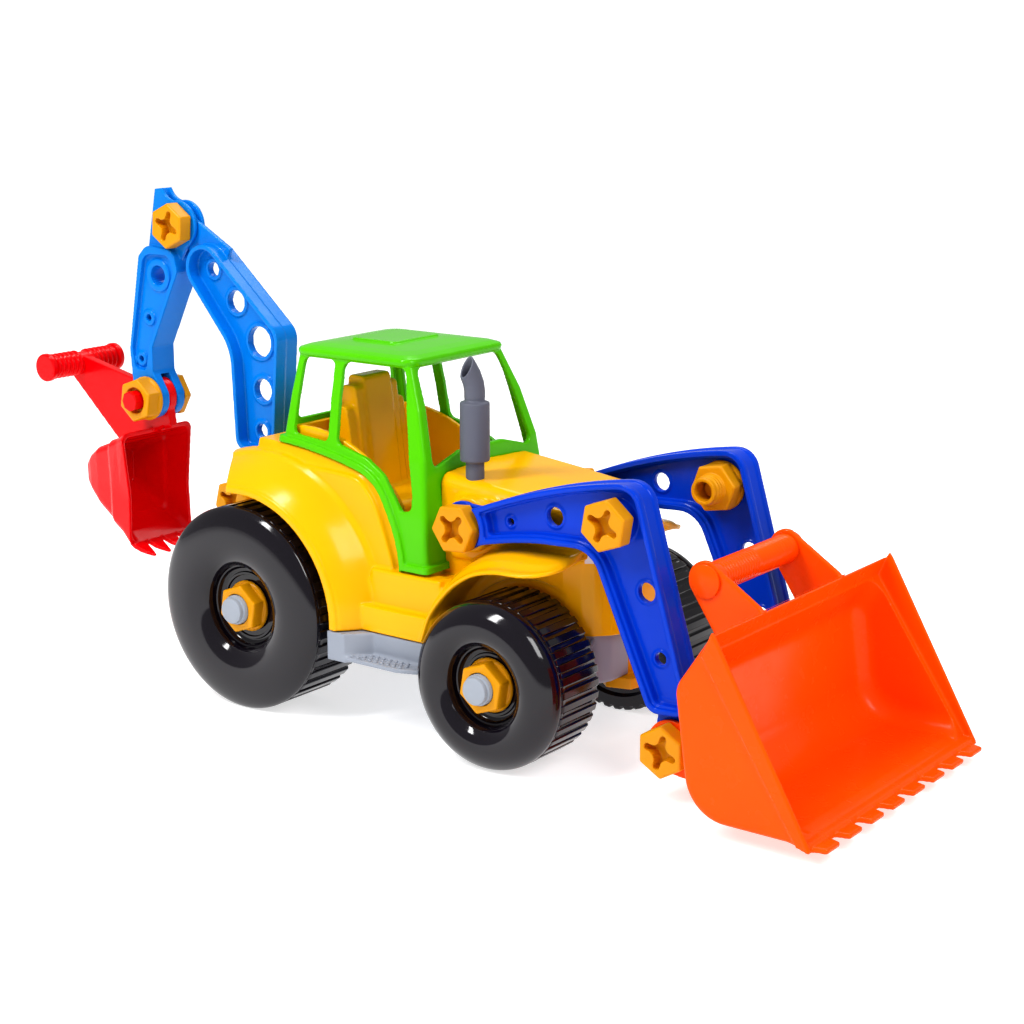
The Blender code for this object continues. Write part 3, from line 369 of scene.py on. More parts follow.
def both_sides(name, outline, y_from, y_to):
    """The same slab on the right and on the left."""
    return [slab(name, outline, side * y_from, side * y_to) for side in (-1, 1)]


def plate(name, outline, z_from, z_to):
    """Outline in the plan (x, y), given thickness along Z."""
    return loft(name, [[(x, y, z) for x, y in outline] for z in (z_from, z_to)])


def wall(name, outline, x_from, x_to):
    """Outline in the front plane (y, z), given thickness along X."""
    return loft(name, [[(x, y, z) for y, z in outline] for x in (x_from, x_to)])


def box(name, low, high):
    return slab(name, rectangle((low[0], low[2]), (high[0], high[2])), low[1], high[1])


def rod(name, centre, radius, y_from, y_to, count=48):
    return slab(name, circle(centre, radius, count), y_from, y_to)


def hole(centre, radius, y_from, y_to, count=48):
    return rod("hole", centre, radius, y_from, y_to, count)


def turned(name, centre, profile, count=64):
    """Solid turned about a Y axis; the profile of (radius, y) starts and ends on the axis."""
    loops = profile[1:-1]
    points = [(centre[0], profile[0][1], centre[1])]
    for radius, y in loops:
        points += [(x, y, z) for x, z in circle(centre, radius, count)]
    points.append((centre[0], profile[-1][1], centre[1]))
    last = len(points) - 1
    faces = []
    for i in range(count):
        j = (i + 1) % count
        faces.append((0, 1 + i, 1 + j))
        for level in range(len(loops) - 1):
            low = 1 + level * count
            high = low + count
            faces.append((low + i, low + j, high + j, high + i))
        faces.append((last, last - count + j, last - count + i))
    return add_object(name, points, faces)


def both_ways(half):
    """Whole profile from its left-hand half, whose last point, near the middle, is used once."""
    return [(r, -y) for r, y in half] + [(r, y) for r, y in reversed(half[:-1])]


def ring(name, centre, rows):
    """Closed ring about a Y axis; each row is (share of the turn, closed profile of (radius, y))."""
    points = []
    for share, profile in rows:
        angle = 2 * math.pi * share
        for radius, y in profile:
            points.append((centre[0] + radius * math.sin(angle), y, centre[1] - radius * math.cos(angle)))
    size = len(rows[0][1])
    faces = []
    for k in range(len(rows)):
        following = (k + 1) % len(rows)
        for i in range(size):
            j = (i + 1) % size
            faces.append((k * size + i, k * size + j, following * size + j, following * size + i))
    return add_object(name, points, faces)


def boolean(target, tools, operation, solver):
    for tool in tools:
        modifier = target.modifiers.new(operation, "BOOLEAN")
        modifier.operation = operation
        modifier.solver = solver
        modifier.object = tool
    apply_modifiers(target)
    for tool in tools:
        bpy.data.objects.remove(tool, do_unlink=True)
    return target


def cut(target, *tools, solver="MANIFOLD"):
    return boolean(target, tools, "DIFFERENCE", solver)


def join(target, *tools, solver="MANIFOLD"):
    return boolean(target, tools, "UNION", solver)


def apply_modifiers(item):
    graph = bpy.context.evaluated_depsgraph_get()
    mesh = bpy.data.meshes.new_from_object(item.evaluated_get(graph))
    item.modifiers.clear()
    old = item.data
    item.data = mesh
    bpy.data.meshes.remove(old)


def gather(name, shells):
    """Several closed shells as one object, overlapping as they are."""
    shape = bmesh.new()
    for shell in shells:
        shape.from_mesh(shell.data)
    mesh = bpy.data.meshes.new(name)
    shape.to_mesh(mesh)
    shape.free()
    for shell in shells:
        bpy.data.objects.remove(shell, do_unlink=True)
    return place(name, mesh)


def mould(name, shells, voxel, passes, most_faces=90000):
    """Shells fused into one skin whose edges are softly rounded, as an injection mould leaves them."""
    item = gather(name, shells)
    remesh = item.modifiers.new("fuse", "REMESH")
    remesh.mode = "VOXEL"
    remesh.voxel_size = voxel * MM * 1.0
    soften = item.modifiers.new("soften", "SMOOTH")
    soften.factor = 0.5
    soften.iterations = passes
    apply_modifiers(item)
    quads = len(item.data.polygons)
    if quads > most_faces:
        thin = item.modifiers.new("thin", "DECIMATE")
        thin.ratio = most_faces / quads
        apply_modifiers(item)
    return item


def copy_of(item):
    return place(item.name, item.data.copy())


def mirrored(source, name):
    """Copy of a right-hand piece, reflected to the left-hand side."""
    mesh = source.data.copy()
    mesh.name = name
    shape = bmesh.new()
    shape.from_mesh(mesh)
    for vertex in shape.verts:
        vertex.co.y = -vertex.co.y
    bmesh.ops.reverse_faces(shape, faces=shape.faces)
    shape.to_mesh(mesh)
    shape.free()
    return place(name, mesh)


# ---------------------------------------------------------------- materials

def srgb(*channels):
    """Linear colour from channels of 0 to 255."""
    return tuple((c / 255 / 12.92) if c < 10.3 else ((c / 255 + 0.055) / 1.055) ** 2.4 for c in channels)


def plastic(name, colour, roughness=0.2, coat=0.06, grain=0.00003, shift=0.05, specular=0.24):
    """Moulded plastic: slow drift of the colour, cloudy gloss from the mould and a very fine grain."""
    material = bpy.data.materials.new(name)
    material.use_nodes = True
    nodes = material.node_tree.nodes
    links = material.node_tree.links
    shader = nodes["Principled BSDF"]
    space = nodes.new("ShaderNodeTexCoord")

    def noise(scale, detail, distortion=0.0):
        node = nodes.new("ShaderNodeTexNoise")
        node.inputs["Scale"].default_value = scale
        node.inputs["Detail"].default_value = detail
        node.inputs["Distortion"].default_value = distortion
        links.new(space.outputs["Object"], node.inputs["Vector"])
        return node.outputs["Fac"]

    base = Vector(srgb(*colour))
    darker = base * (1 - shift)
    lighter = base * (1 + shift)
    drift = nodes.new("ShaderNodeValToRGB")
    drift.color_ramp.elements[0].position = 0.32
    drift.color_ramp.elements[1].position = 0.68
    drift.color_ramp.elements[0].color = (*darker, 1)
    drift.color_ramp.elements[1].color = (*(min(1.0, c) for c in lighter), 1)
    links.new(noise(14.0, 3.0, 0.6), drift.inputs["Fac"])
    links.new(drift.outputs["Color"], shader.inputs["Base Color"])

    cloud = nodes.new("ShaderNodeMapRange")
    cloud.inputs["From Min"].default_value = 0.3
    cloud.inputs["From Max"].default_value = 0.7
    cloud.inputs["To Min"].default_value = roughness * 0.8
    cloud.inputs["To Max"].default_value = roughness * 1.25
    links.new(noise(90.0, 4.0), cloud.inputs["Value"])
    links.new(cloud.outputs["Result"], shader.inputs["Roughness"])

    bump = nodes.new("ShaderNodeBump")
    bump.inputs["Strength"].default_value = 0.35
    bump.inputs["Distance"].default_value = grain
    links.new(noise(1400.0, 2.0), bump.inputs["Height"])
    links.new(bump.outputs["Normal"], shader.inputs["Normal"])
    shader.inputs["Coat Weight"].default_value = coat
    shader.inputs["Coat Roughness"].default_value = 0.08
    shader.inputs["Specular IOR Level"].default_value = specular
    return material


YELLOW = plastic("yellow_gloss", (243, 175, 0), specular=0.18)
FASTENER = plastic("yellow_satin", (214, 146, 0), roughness=0.36, coat=0.0, grain=0.00006)
GREEN = plastic("green_gloss", (84, 190, 2), specular=0.16)
ROYAL = plastic("royal_blue_gloss", (0, 62, 194), specular=0.14)
SKY = plastic("sky_blue_gloss", (0, 122, 212), specular=0.16)
RED = plastic("red_gloss", (226, 0, 10), specular=0.16)
ORANGE = plastic("orange_gloss", (252, 86, 0), roughness=0.24, coat=0.04, specular=0.12)
BLACK = plastic("black_high_gloss", (15, 10, 20), roughness=0.1, coat=0.2, shift=0.12, specular=0.42)
GREY = plastic("grey_satin", (146, 152, 164), roughness=0.34, coat=0.0)
MATTE = plastic("grey_matte", (94, 96, 108), roughness=0.5, coat=0.0, grain=0.00012, specular=0.3)
PIN = plastic("light_grey_satin", (152, 158, 168), roughness=0.4, coat=0.0, grain=0.00008)
LENS = plastic("clear_lens", (225, 210, 205), roughness=0.08, coat=0.8, specular=0.5)


def body_of(node):
    return frame["nodes"][node]["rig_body"]


def dress(item, node, material, sharp_deg=None):
    """Stands a finished piece in for its CAD node, on the same body."""
    item.name = node + "_skin"
    item.data.materials.clear()
    item.data.materials.append(material)
    item.data.shade_smooth()
    if sharp_deg is not None:
        item.data.set_sharp_from_angle(angle=math.radians(sharp_deg))
    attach(item, body_of(node))
    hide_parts(node)
    return item


def dress_pair(right, node, material, sharp_deg=None):
    """Dresses a right-hand piece and its mirror image; node is the right-hand one."""
    left_node = node.replace("right", "left")
    left = mirrored(right, left_node)
    dress(right, node, material, sharp_deg)
    dress(left, left_node, material, sharp_deg)


# ---------------------------------------------------------------- wheels

def make_wheel(label, wheel, radius, seam):
    recess = radius * 0.2 + 12.5
    bore = AXLE_R + RUNNING_GAP
    crest = recess + (radius - recess) * 0.44
    rim_y = seam + 1.2
    wall_y = 78.0
    outer = [(recess - 1.2, HUB_FLOOR_Y + 2.6), (recess - 0.4, 75.8)]
    for k in range(11):
        turn = math.pi / 2 * (1 - k / 10)
        outer.append((crest - (crest - recess) * math.sin(turn), wall_y + (DISH_Y - wall_y) * math.cos(turn)))
    for k in range(1, 13):
        turn = math.pi / 2 * k / 12
        outer.append((crest + (radius - crest) * math.sin(turn), rim_y + (DISH_Y - rim_y) * math.cos(turn)))
    profile = [(bore, HUB_FLOOR_Y - 6), (bore, HUB_FLOOR_Y - 0.5), (bore + 0.5, HUB_FLOOR_Y)]
    for before_recess, rise in ((6.6, 0.0), (6.1, 0.9), (4.9, 0.9), (4.4, 0.0), (2.9, 0.2), (1.8, 1.0)):
        profile.append((recess - before_recess, HUB_FLOOR_Y + rise))
    profile += outer
    profile += [(radius - 0.2, seam + 0.5), (radius - 0.7, seam + 0.15), (radius - 3.5, seam + 0.15)]
    profile += [(radius - 6.0, 77.0), (recess + 4, DISH_Y - 4), (recess + 1.0, HUB_FLOOR_Y - 6)]
    right = [(r, -y) for r, y in profile]
    dish = ring("dish", wheel, [(k / WHEEL_TURNS, right) for k in range(WHEEL_TURNS)])
    dress_pair(dish, f"{label}_wheel_dish_right", BLACK, 40)

    rows = []
    for k in range(RIBS):
        for share, depth in (
            (0.0, 0.25), (0.05, 0.0), (RIB_SHARE - 0.05, 0.0), (RIB_SHARE, 0.25),
            (RIB_SHARE + 0.03, 0.85), (RIB_SHARE + 0.09, 1.0), (0.91, 1.0), (0.97, 0.85),
        ):
            dip = depth * CHANNEL_DEPTH
            edge = radius - min(dip, 0.5)
            tread = [
                (bore, TYRE_INNER_Y), (bore, TYRE_INNER_Y + 4), (radius - 6, TYRE_INNER_Y + 4),
                (radius - 6, seam), (radius - 0.7, seam), (edge - 0.25, seam - 0.25), (edge, seam - 0.9),
                (radius - dip * 0.5 - min(dip, 0.5) * 0.4, seam - CHANNEL_SLOPE * 0.55),
                (radius - dip, seam - CHANNEL_SLOPE), (radius - dip, TYRE_INNER_Y + 1.6),
                (radius - dip - 0.3, TYRE_INNER_Y + 0.6), (radius - dip - 1.2, TYRE_INNER_Y),
                (radius - 8, TYRE_INNER_Y), (radius - 9.5, TYRE_INNER_Y + 2.2), (15.5, TYRE_INNER_Y + 2.2),
                (14.5, TYRE_INNER_Y),
            ]
            rows.append(((k + share) / RIBS, [(r, -y) for r, y in tread]))
    tread = ring("tread", wheel, rows)
    dress_pair(tread, f"{label}_wheel_tread_right", BLACK, 32)


def make_axle(label, wheel):
    half = [
        (0.0, AXLE_END_Y), (6.5, AXLE_END_Y), (7.0, AXLE_END_Y - 0.15), (7.3, AXLE_END_Y - 0.6),
        (7.3, AXLE_END_Y - 2.6), (7.6, AXLE_END_Y - 2.9), (8.1, AXLE_END_Y - 3.0), (AXLE_R, AXLE_END_Y - 3.4),
        (AXLE_R, 30.0),
    ]
    profile = [(r, -y) for r, y in half] + [(r, y) for r, y in reversed(half)]
    dress(turned("axle", wheel, profile), f"{label}_axle", PIN, 40)
    nut = flange_nut(
        wheel, -AXLE_NUT_INNER_Y, -1, AXLE_NUT_FLATS, AXLE_NUT_FLANGE_R,
        AXLE_R + RUNNING_GAP, AXLE_NUT_OUTER_Y - AXLE_NUT_INNER_Y, 20.0,
    )
    dress_pair(nut, f"{label}_axle_nut_right", FASTENER)


# ---------------------------------------------------------------- bolts and nuts

def hexagon(centre, flats, turn_deg, corner=1.2):
    sharp = circle(centre, flats / math.sqrt(3), 6, math.radians(turn_deg))
    return rounded([(x, z, corner) for x, z in sharp], 4)


def driver_recess(centre, turn_deg):
    """Cross with round-ended arms; the head stands in as a round lobe between each two arms."""
    middle = Vector(centre)
    lobe = ARM_HALF_W + ARM_LOBE_R
    points = []
    for quarter in range(4):
        turn = Matrix.Rotation(math.radians(turn_deg + 90 * quarter), 2)
        tip = arc((ARM_LONG - ARM_HALF_W, 0.0), ARM_HALF_W, -90, 90, 10)
        between = arc((lobe, lobe), ARM_LOBE_R, -90, -180, 12)
        points += [tuple(middle + turn @ Vector(p)) for p in tip + between]
    return points


def hex_block(name, centre, flats, turn_deg, y_from, outward, levels):
    """Hexagonal solid along Y, each level a rise from y_from and how far its sides are drawn in."""
    outline = hexagon(centre, flats, turn_deg)
    middle = Vector(centre)
    loops = []
    for rise, ease in levels:
        share = 1 - ease / (flats / 2)
        moved = [middle + (Vector(p) - middle) * share for p in outline]
        loops.append([(p.x, y_from + outward * rise, p.y) for p in moved])
    return loft(name, loops)


def hex_head(centre, y_under, outward, turn_deg):
    """Bolt head with eased edges and its driver recess."""
    levels = ((0.0, 1.0), (0.6, 0.0), (HEAD_T - 1.0, 0.0), (HEAD_T - 0.35, 0.35), (HEAD_T, 1.1))
    head = hex_block("head", centre, HEX_FLATS, turn_deg, y_under, outward, levels)
    y_face = y_under + outward * HEAD_T
    recess = driver_recess(centre, turn_deg + 45)
    return cut(head, slab("recess", recess, y_face + outward, y_face - outward * RECESS_DEEP))


def thread(centre, radius, y_from, y_to, bore=0.0):
    """Shank with a coarse moulded thread, hollow at its end when it has a bore."""
    step = 1 if y_to > y_from else -1
    length = abs(y_to - y_from)
    pitch = 2.4
    profile = [(0.0, y_from), (radius - 0.5, y_from)]
    position = 0.0
    while position + pitch < length - 0.6:
        y = y_from + step * position
        profile += [(radius - 0.75, y + step * 0.2), (radius, y + step * 1.0), (radius, y + step * 1.5)]
        profile += [(radius - 0.75, y + step * 2.3)]
        position += pitch
    profile += [(radius - 0.6, y_to - step * 0.3), (radius - 1.0, y_to), (0.0, y_to)]
    shank = turned("shank", centre, profile)
    if bore:
        shank = cut(shank, rod("bore", centre, bore, y_to + step, y_to - step * 9.0))
    return shank


def hex_bolt(centre, y_under, y_end, turn_deg=0.0, bore=0.0):
    outward = -1 if y_under < y_end else 1
    head = hex_head(centre, y_under, outward, turn_deg)
    shank = thread(centre, SHANK_R, y_under + outward * 2, y_end, bore)
    return mould("bolt", [head, shank], 0.36, 2, 22000)


def flange_nut(centre, y_seat, direction, flats=HEX_FLATS, flange_r=FLANGE_R,
               bore_r=NUT_HOLE_R, thick=NUT_T + FLANGE_T, turn_deg=0.0, mouth_r=0.0, collar=0.0):
    """Hexagonal nut on a round flange; direction is the way it stands off its seat.

    mouth_r widens the outer part of its bore, and collar is the length of a threaded collar beyond it.
    """
    levels = ((1.0, 0.0), (thick - 1.0, 0.0), (thick - 0.35, 0.35), (thick, 1.1))
    nut = hex_block("nut", centre, flats, turn_deg, y_seat, direction, levels)
    flange_profile = [
        (0.0, y_seat), (flange_r - 0.3, y_seat), (flange_r, y_seat + direction * 0.5),
        (flange_r, y_seat + direction * (FLANGE_T - 0.9)), (flange_r - 0.8, y_seat + direction * FLANGE_T),
        (0.0, y_seat + direction * FLANGE_T),
    ]
    flange = turned("flange", centre, flange_profile)
    drill = (y_seat - direction, y_seat + direction * (thick + 1))
    nut = cut(nut, hole(centre, bore_r, *drill))
    flange = cut(flange, hole(centre, bore_r, *drill))
    if mouth_r:
        nut = cut(nut, hole(centre, mouth_r, y_seat + direction * (thick - 4.5), drill[1]))
    shells = [nut, flange]
    if collar:
        y_end = y_seat + direction * (thick + collar)
        sleeve = thread(centre, COLLAR_R, y_seat + direction * (thick - 3.0), y_end)
        shells.append(cut(sleeve, hole(centre, COLLAR_BORE_R, y_seat, y_end + direction * 2.0)))
    return mould("nut", shells, 0.4, 2, 16000)


# ---------------------------------------------------------------- thin arms

def drilled(shells, holes, y_from, y_to):
    """Every shell with every (centre, radius) hole cut through it."""
    return [
        cut(shell, *[hole(centre, radius, y_from, y_to) for centre, radius in holes], solver="EXACT")
        for shell in shells
    ]


def raised_ring(centre, hole_r, outer_r, y_from, y_to):
    """Boss round a hole with eased edges."""
    step = 1 if y_to > y_from else -1
    profile = [
        (0.0, y_from), (outer_r + 0.3, y_from), (outer_r, y_to - step * 0.5), (outer_r - 0.4, y_to),
        (0.0, y_to),
    ]
    boss = turned("boss", centre, profile)
    return cut(boss, hole(centre, hole_r, min(y_from, y_to) - 1, max(y_from, y_to) + 1))


def ribbed_plate(outline, middle_y, half_t, half_web, rim, waist=0.0, ledge=0.0):
    """Plate with a raised rim round both faces; the edge wall can be waisted and the rim stepped inside."""
    core = inset(outline, waist) if waist else outline
    flange_t = 3.4
    solid = slab("core", core, middle_y - half_t + flange_t, middle_y + half_t - flange_t)
    faces = [
        slab("flange", outline, middle_y - half_t, middle_y - half_t + flange_t + 0.3),
        slab("flange", outline, middle_y + half_t - flange_t - 0.3, middle_y + half_t),
    ]
    solid = join(solid, *faces, solver="EXACT")
    for side in (-1, 1):
        top = middle_y + side * (half_t + 1)
        for margin, floor in ((rim, half_t - 2.4), (rim + ledge, half_web)):
            pocket = slab("pocket", inset(outline, margin), top, middle_y + side * floor)
            solid = cut(solid, pocket, solver="EXACT")
    return solid


def arm_outline():
    """Side view of a loader arm, from its hollow rear end round the knee to its lower end."""
    rear_top = (145.8, 130.9)
    crown = (236.0, 156.5)
    points = arc(LOADER_PIVOT, REAR_CUT_R, -28.5, 49.6, 14)
    points += bend(rear_top, (192.0, 150.5), crown, 16)
    points += rounded([
        (*crown, 0), (248.0, 157.2, 12), (281.5, 44.0, 8), (256.8, 43.0, 8), (221.5, 120.8, 16),
        (190.0, 119.4, 0),
    ], 10)[1:]
    points += bend((190.0, 119.4), (170.0, 117.5), points[0], 6)[:-1]
    return points


def make_loader_arm():
    shells = [ribbed_plate(arm_outline(), -ARM_MID_Y, ARM_HALF_T, ARM_HALF_WEB, 3.0, 0.7, 1.3)]
    tab = (-(ARM_MID_Y + TAB_HALF_T), -(ARM_MID_Y - TAB_HALF_T))
    rear_tab = arc(LOADER_PIVOT, 13.4, 70, 285, 30) + [(154.0, 114.5), (154.0, 131.5)]
    lower_tab = arc(BUCKET_PIVOT, 12.4, 160, 370, 30) + [(279.0, 50.0), (260.0, 50.0)]
    shells.append(slab("tab", rear_tab, *tab))
    shells.append(slab("tab", lower_tab, *tab))
    shells.append(rod("boss", KNEE, 11.0, -KNEE_SEAT_Y + 0.3, -ARM_MID_Y))
    holes = ((LOADER_PIVOT, SHANK_HOLE_R), (KNEE, SHANK_HOLE_R), (BUCKET_PIVOT, SHANK_HOLE_R),
             ((195.5, 133.2), 4.9), ((251.3, 102.7), 4.9), ((260.0, 70.0), 3.2), ((167.5, 126.5), 2.0))
    shells = drilled(shells, holes, -ARM_MID_Y - 12, -ARM_MID_Y + 12)
    for centre, radius in holes[3:]:
        for side in (-1, 1):
            web = -ARM_MID_Y + side * ARM_HALF_WEB
            shells.append(raised_ring(centre, radius, radius + 1.6, web - side * 0.8, web + side * 0.7))
    return mould("loader_arm", shells, 0.5, 3)


def make_loader_group():
    dress_pair(make_loader_arm(), "loader_arm_right", ROYAL)
    knee_bolt = hex_bolt(KNEE, -KNEE_SEAT_Y, -36.0, 20.0)
    dress_pair(knee_bolt, "knee_bolt_right", FASTENER)
    knee_nut = flange_nut(KNEE, -(ARM_MID_Y - ARM_HALF_WEB - 0.3), 1, turn_deg=10.0, collar=9.5)
    dress_pair(knee_nut, "knee_nut_right", FASTENER)
    bucket_bolt = hex_bolt(BUCKET_PIVOT, -55.8, -31.0, 30.0)
    dress_pair(bucket_bolt, "bucket_bolt_right", FASTENER)
    bucket_nut = flange_nut(BUCKET_PIVOT, -44.0, 1, turn_deg=5.0)
    dress_pair(bucket_nut, "bucket_nut_right", FASTENER)


# ---------------------------------------------------------------- loader bucket

def offset_lines(corners, distance, overrun):
    """Corners of an open chain of straight walls moved to its left, its two ends drawn out by overrun."""
    walls = []
    for (x0, z0, _), (x1, z1, _) in zip(corners, corners[1:]):
        along = Vector((x1 - x0, z1 - z0)).normalized()
        normal = Vector((-along.y, along.x))
        walls.append((Vector((x0, z0)) + normal * distance, along))
    moved = [walls[0][0] - walls[0][1] * overrun]
    for (a, u), (b, v) in zip(walls, walls[1:]):
        moved.append(a + u * ((b - a).cross(v) / u.cross(v)))
    last = Vector(corners[-1][:2])
    base, along = walls[-1]
    moved.append(base + along * ((last - base).dot(along) + overrun))
    return moved


def bucket_section(distance, overrun):
    """Side view of the bucket's walls moved in by distance; with an overrun it runs out of the mouth."""
    corners = [(*RIM, 0), (292.0, 72.0, 0), (301.0, 9.0, 0), (354.0, 9.0, 0), (*LIP, 0)]
    moved = offset_lines(corners, distance, overrun)
    return rounded([(p.x, p.y, r) for p, r in zip(moved, BUCKET_SIDE_R)], 12)


def eased(section, radius, half_w, steps=8):
    """Loops across the width whose two ends are rounded off; section(e) is the outline moved in by e."""
    loops = []
    levels = []
    for k in range(steps + 1):
        angle = math.pi / 2 * k / steps
        levels.append((radius * (1 - math.sin(angle)), half_w - radius * (1 - math.cos(angle))))
    for side in (-1, 1):
        for ease, y in (levels if side < 0 else reversed(levels)):
            loops.append([(x, side * y, z) for x, z in section(ease)])
    return loops


def make_loader_bucket():
    half_w = BUCKET_HALF_W - BUCKET_BORDER
    slope = Vector((LIP[0] - RIM[0], LIP[1] - RIM[1])).normalized()
    inward = Vector((slope.y, -slope.x))
    outer = loft("bucket", eased(lambda e: bucket_section(e, 0.0), 2.4, half_w, 4))
    border = [RIM, LIP, (LIP[0] + inward.x * 7.0 - 1, LIP[1] + 2.0), (RIM[0] + inward.x * 6.0, RIM[1] - 12.0)]
    shells = [outer]
    shells += both_sides("border", border, BUCKET_HALF_W - 3.0, BUCKET_HALF_W)
    hollow = loft("hollow", eased(
        lambda e: bucket_section(BUCKET_WALL + e, 30.0), 10.0, half_w - BUCKET_WALL - 1.0))
    # The walls are thinner along their front edges, inside a step.
    mouth_way = [
        RIM, (RIM[0] + inward.x * 6.5, RIM[1] - 13.0), (LIP[0] + inward.x * 7.5, LIP[1] + 4.0),
        (LIP[0] + 20.0, LIP[1] + 1.6), (LIP[0] + 20.0, RIM[1] + 30.0), (RIM[0] + 12.0, RIM[1] + 30.0),
    ]
    step_way = slab("step_way", mouth_way, -half_w + 1.2, half_w - 1.2)
    shells = [cut(shell, copy_of(hollow), solver="EXACT") for shell in shells]
    shells = [cut(shell, copy_of(step_way), solver="EXACT") for shell in shells]
    bpy.data.objects.remove(step_way, do_unlink=True)
    bpy.data.objects.remove(hollow, do_unlink=True)
    # Ears for the arms and for the grip.
    for side in (-1, 1):
        for y_low in (52.0, 44.6):
            ear = arc(BUCKET_PIVOT, 14.0, 75, 270, 28) + [(303.0, 9.6), (298.0, 46.0)]
            lug = slab("ear", ear, side * y_low, side * (y_low + 3.0))
            shells.append(cut(lug, hole(BUCKET_PIVOT, SHANK_HOLE_R, side * (y_low - 1), side * (y_low + 4))))
        handle_ear = arc(GRIP_AXIS, 10.0, 80, 215, 20)
        handle_ear += [(294.0, 70.0), (298.6, 76.4), (311.0, 99.6), (309.2, 102.2)]
        lug = slab("ear", handle_ear, side * 38.5, side * 41.5)
        shells.append(cut(lug, hole(GRIP_AXIS, 6.4, side * 37.0, side * 43.0)))
    pitch = 2 * (BUCKET_HALF_W - 2.0) / BUCKET_TEETH
    for k in range(BUCKET_TEETH):
        y_left = -BUCKET_HALF_W + 2.0 + k * pitch
        tooth = [
            (LIP[0] - 6.0, y_left + 0.5), (LIP[0] + 6.5, y_left + 3.5),
            (LIP[0] + 6.5, y_left + pitch - 6.5), (LIP[0] - 6.0, y_left + pitch - 2.5),
        ]
        shells.append(plate("tooth", tooth, LIP[1] - 0.1, LIP[1] + 2.6))
    dress(mould("bucket", shells, 0.72, 2, 99000), "loader_bucket", ORANGE)
    dress(make_grip(), "bucket_grip", ORANGE, 40)


def make_grip():
    """Grip bar with fine ridges; its round ends stand in the bucket's ears."""
    profile = [
        (0.0, 43.2), (8.2, 43.2), (8.6, 42.9), (8.6, 42.0), (6.0, 41.9), (6.0, 38.1),
        (GRIP_R - 0.4, 38.1), (GRIP_R, 37.7), (GRIP_R, 33.0),
    ]
    for k in range(GRIP_RIDGES):
        y = 32.5 - k * GRIP_PITCH
        profile += [(GRIP_R - 0.35, y - 0.3), (GRIP_R - 0.35, y - 0.7), (GRIP_R, y - 1.1), (GRIP_R, y - 2.1)]
    return turned("grip", GRIP_AXIS, both_ways(profile))


# ---------------------------------------------------------------- backhoe

def boom_outline():
    points = arc((-93.0, 235.0), 14.0, 50, 215, 20)
    points += rounded([
        (-104.5, 227.0, 0), (-72.5, 189.0, 30), (-70.0, 129.0, 7), (-39.5, 127.5, 6), (-33.5, 201.0, 12),
        (-84.0, 245.7, 0),
    ], 10)[1:-1]
    return points


def make_boom():
    outline = boom_outline()
    solid = slab("boom", inset(outline, 0.5), -1.0, BOOM_HALF_T)
    solid = join(solid, slab("boom", outline, -BOOM_HALF_T, -0.9), solver="EXACT")
    pocket = inset(outline, 2.6)
    solid = cut(
        solid,
        slab("pocket", pocket, -BOOM_HALF_T - 1, -BOOM_HALF_WEB),
        slab("pocket", pocket, BOOM_HALF_WEB, BOOM_HALF_T + 1),
        solver="EXACT",
    )
    neck = arc(ELBOW, 12.0, 20, 240, 30) + [(-101.0, 240.0), (-80.0, 240.0), (-77.0, 247.0)]
    foot = arc(FOOT_PIVOT, 13.0, 185, 350, 30) + [(-43.0, 130.5), (-69.5, 130.5)]
    shells = [solid, slab("neck", neck, -1.5, 1.5), slab("foot", foot, -4.0, 4.0)]
    web_holes = (
        ((-90.5, 234.2), 4.4), ((-72.5, 216.2), 6.8), ((-54.5, 193.7), 9.2), ((-52.7, 165.0), 6.8),
        ((-54.5, 140.2), 4.3),
    )
    holes = web_holes + ((ELBOW, SHANK_HOLE_R), (FOOT_PIVOT, SHANK_HOLE_R))
    shells = drilled(shells, holes, -20, 20)
    for centre, radius in web_holes:
        for side in (-1, 1):
            shells.append(raised_ring(centre, radius, radius + 2.4, side * 0.4, side * (BOOM_HALF_WEB + 1.3)))
    dress(mould("boom", shells, 0.5, 3), "boom", SKY)


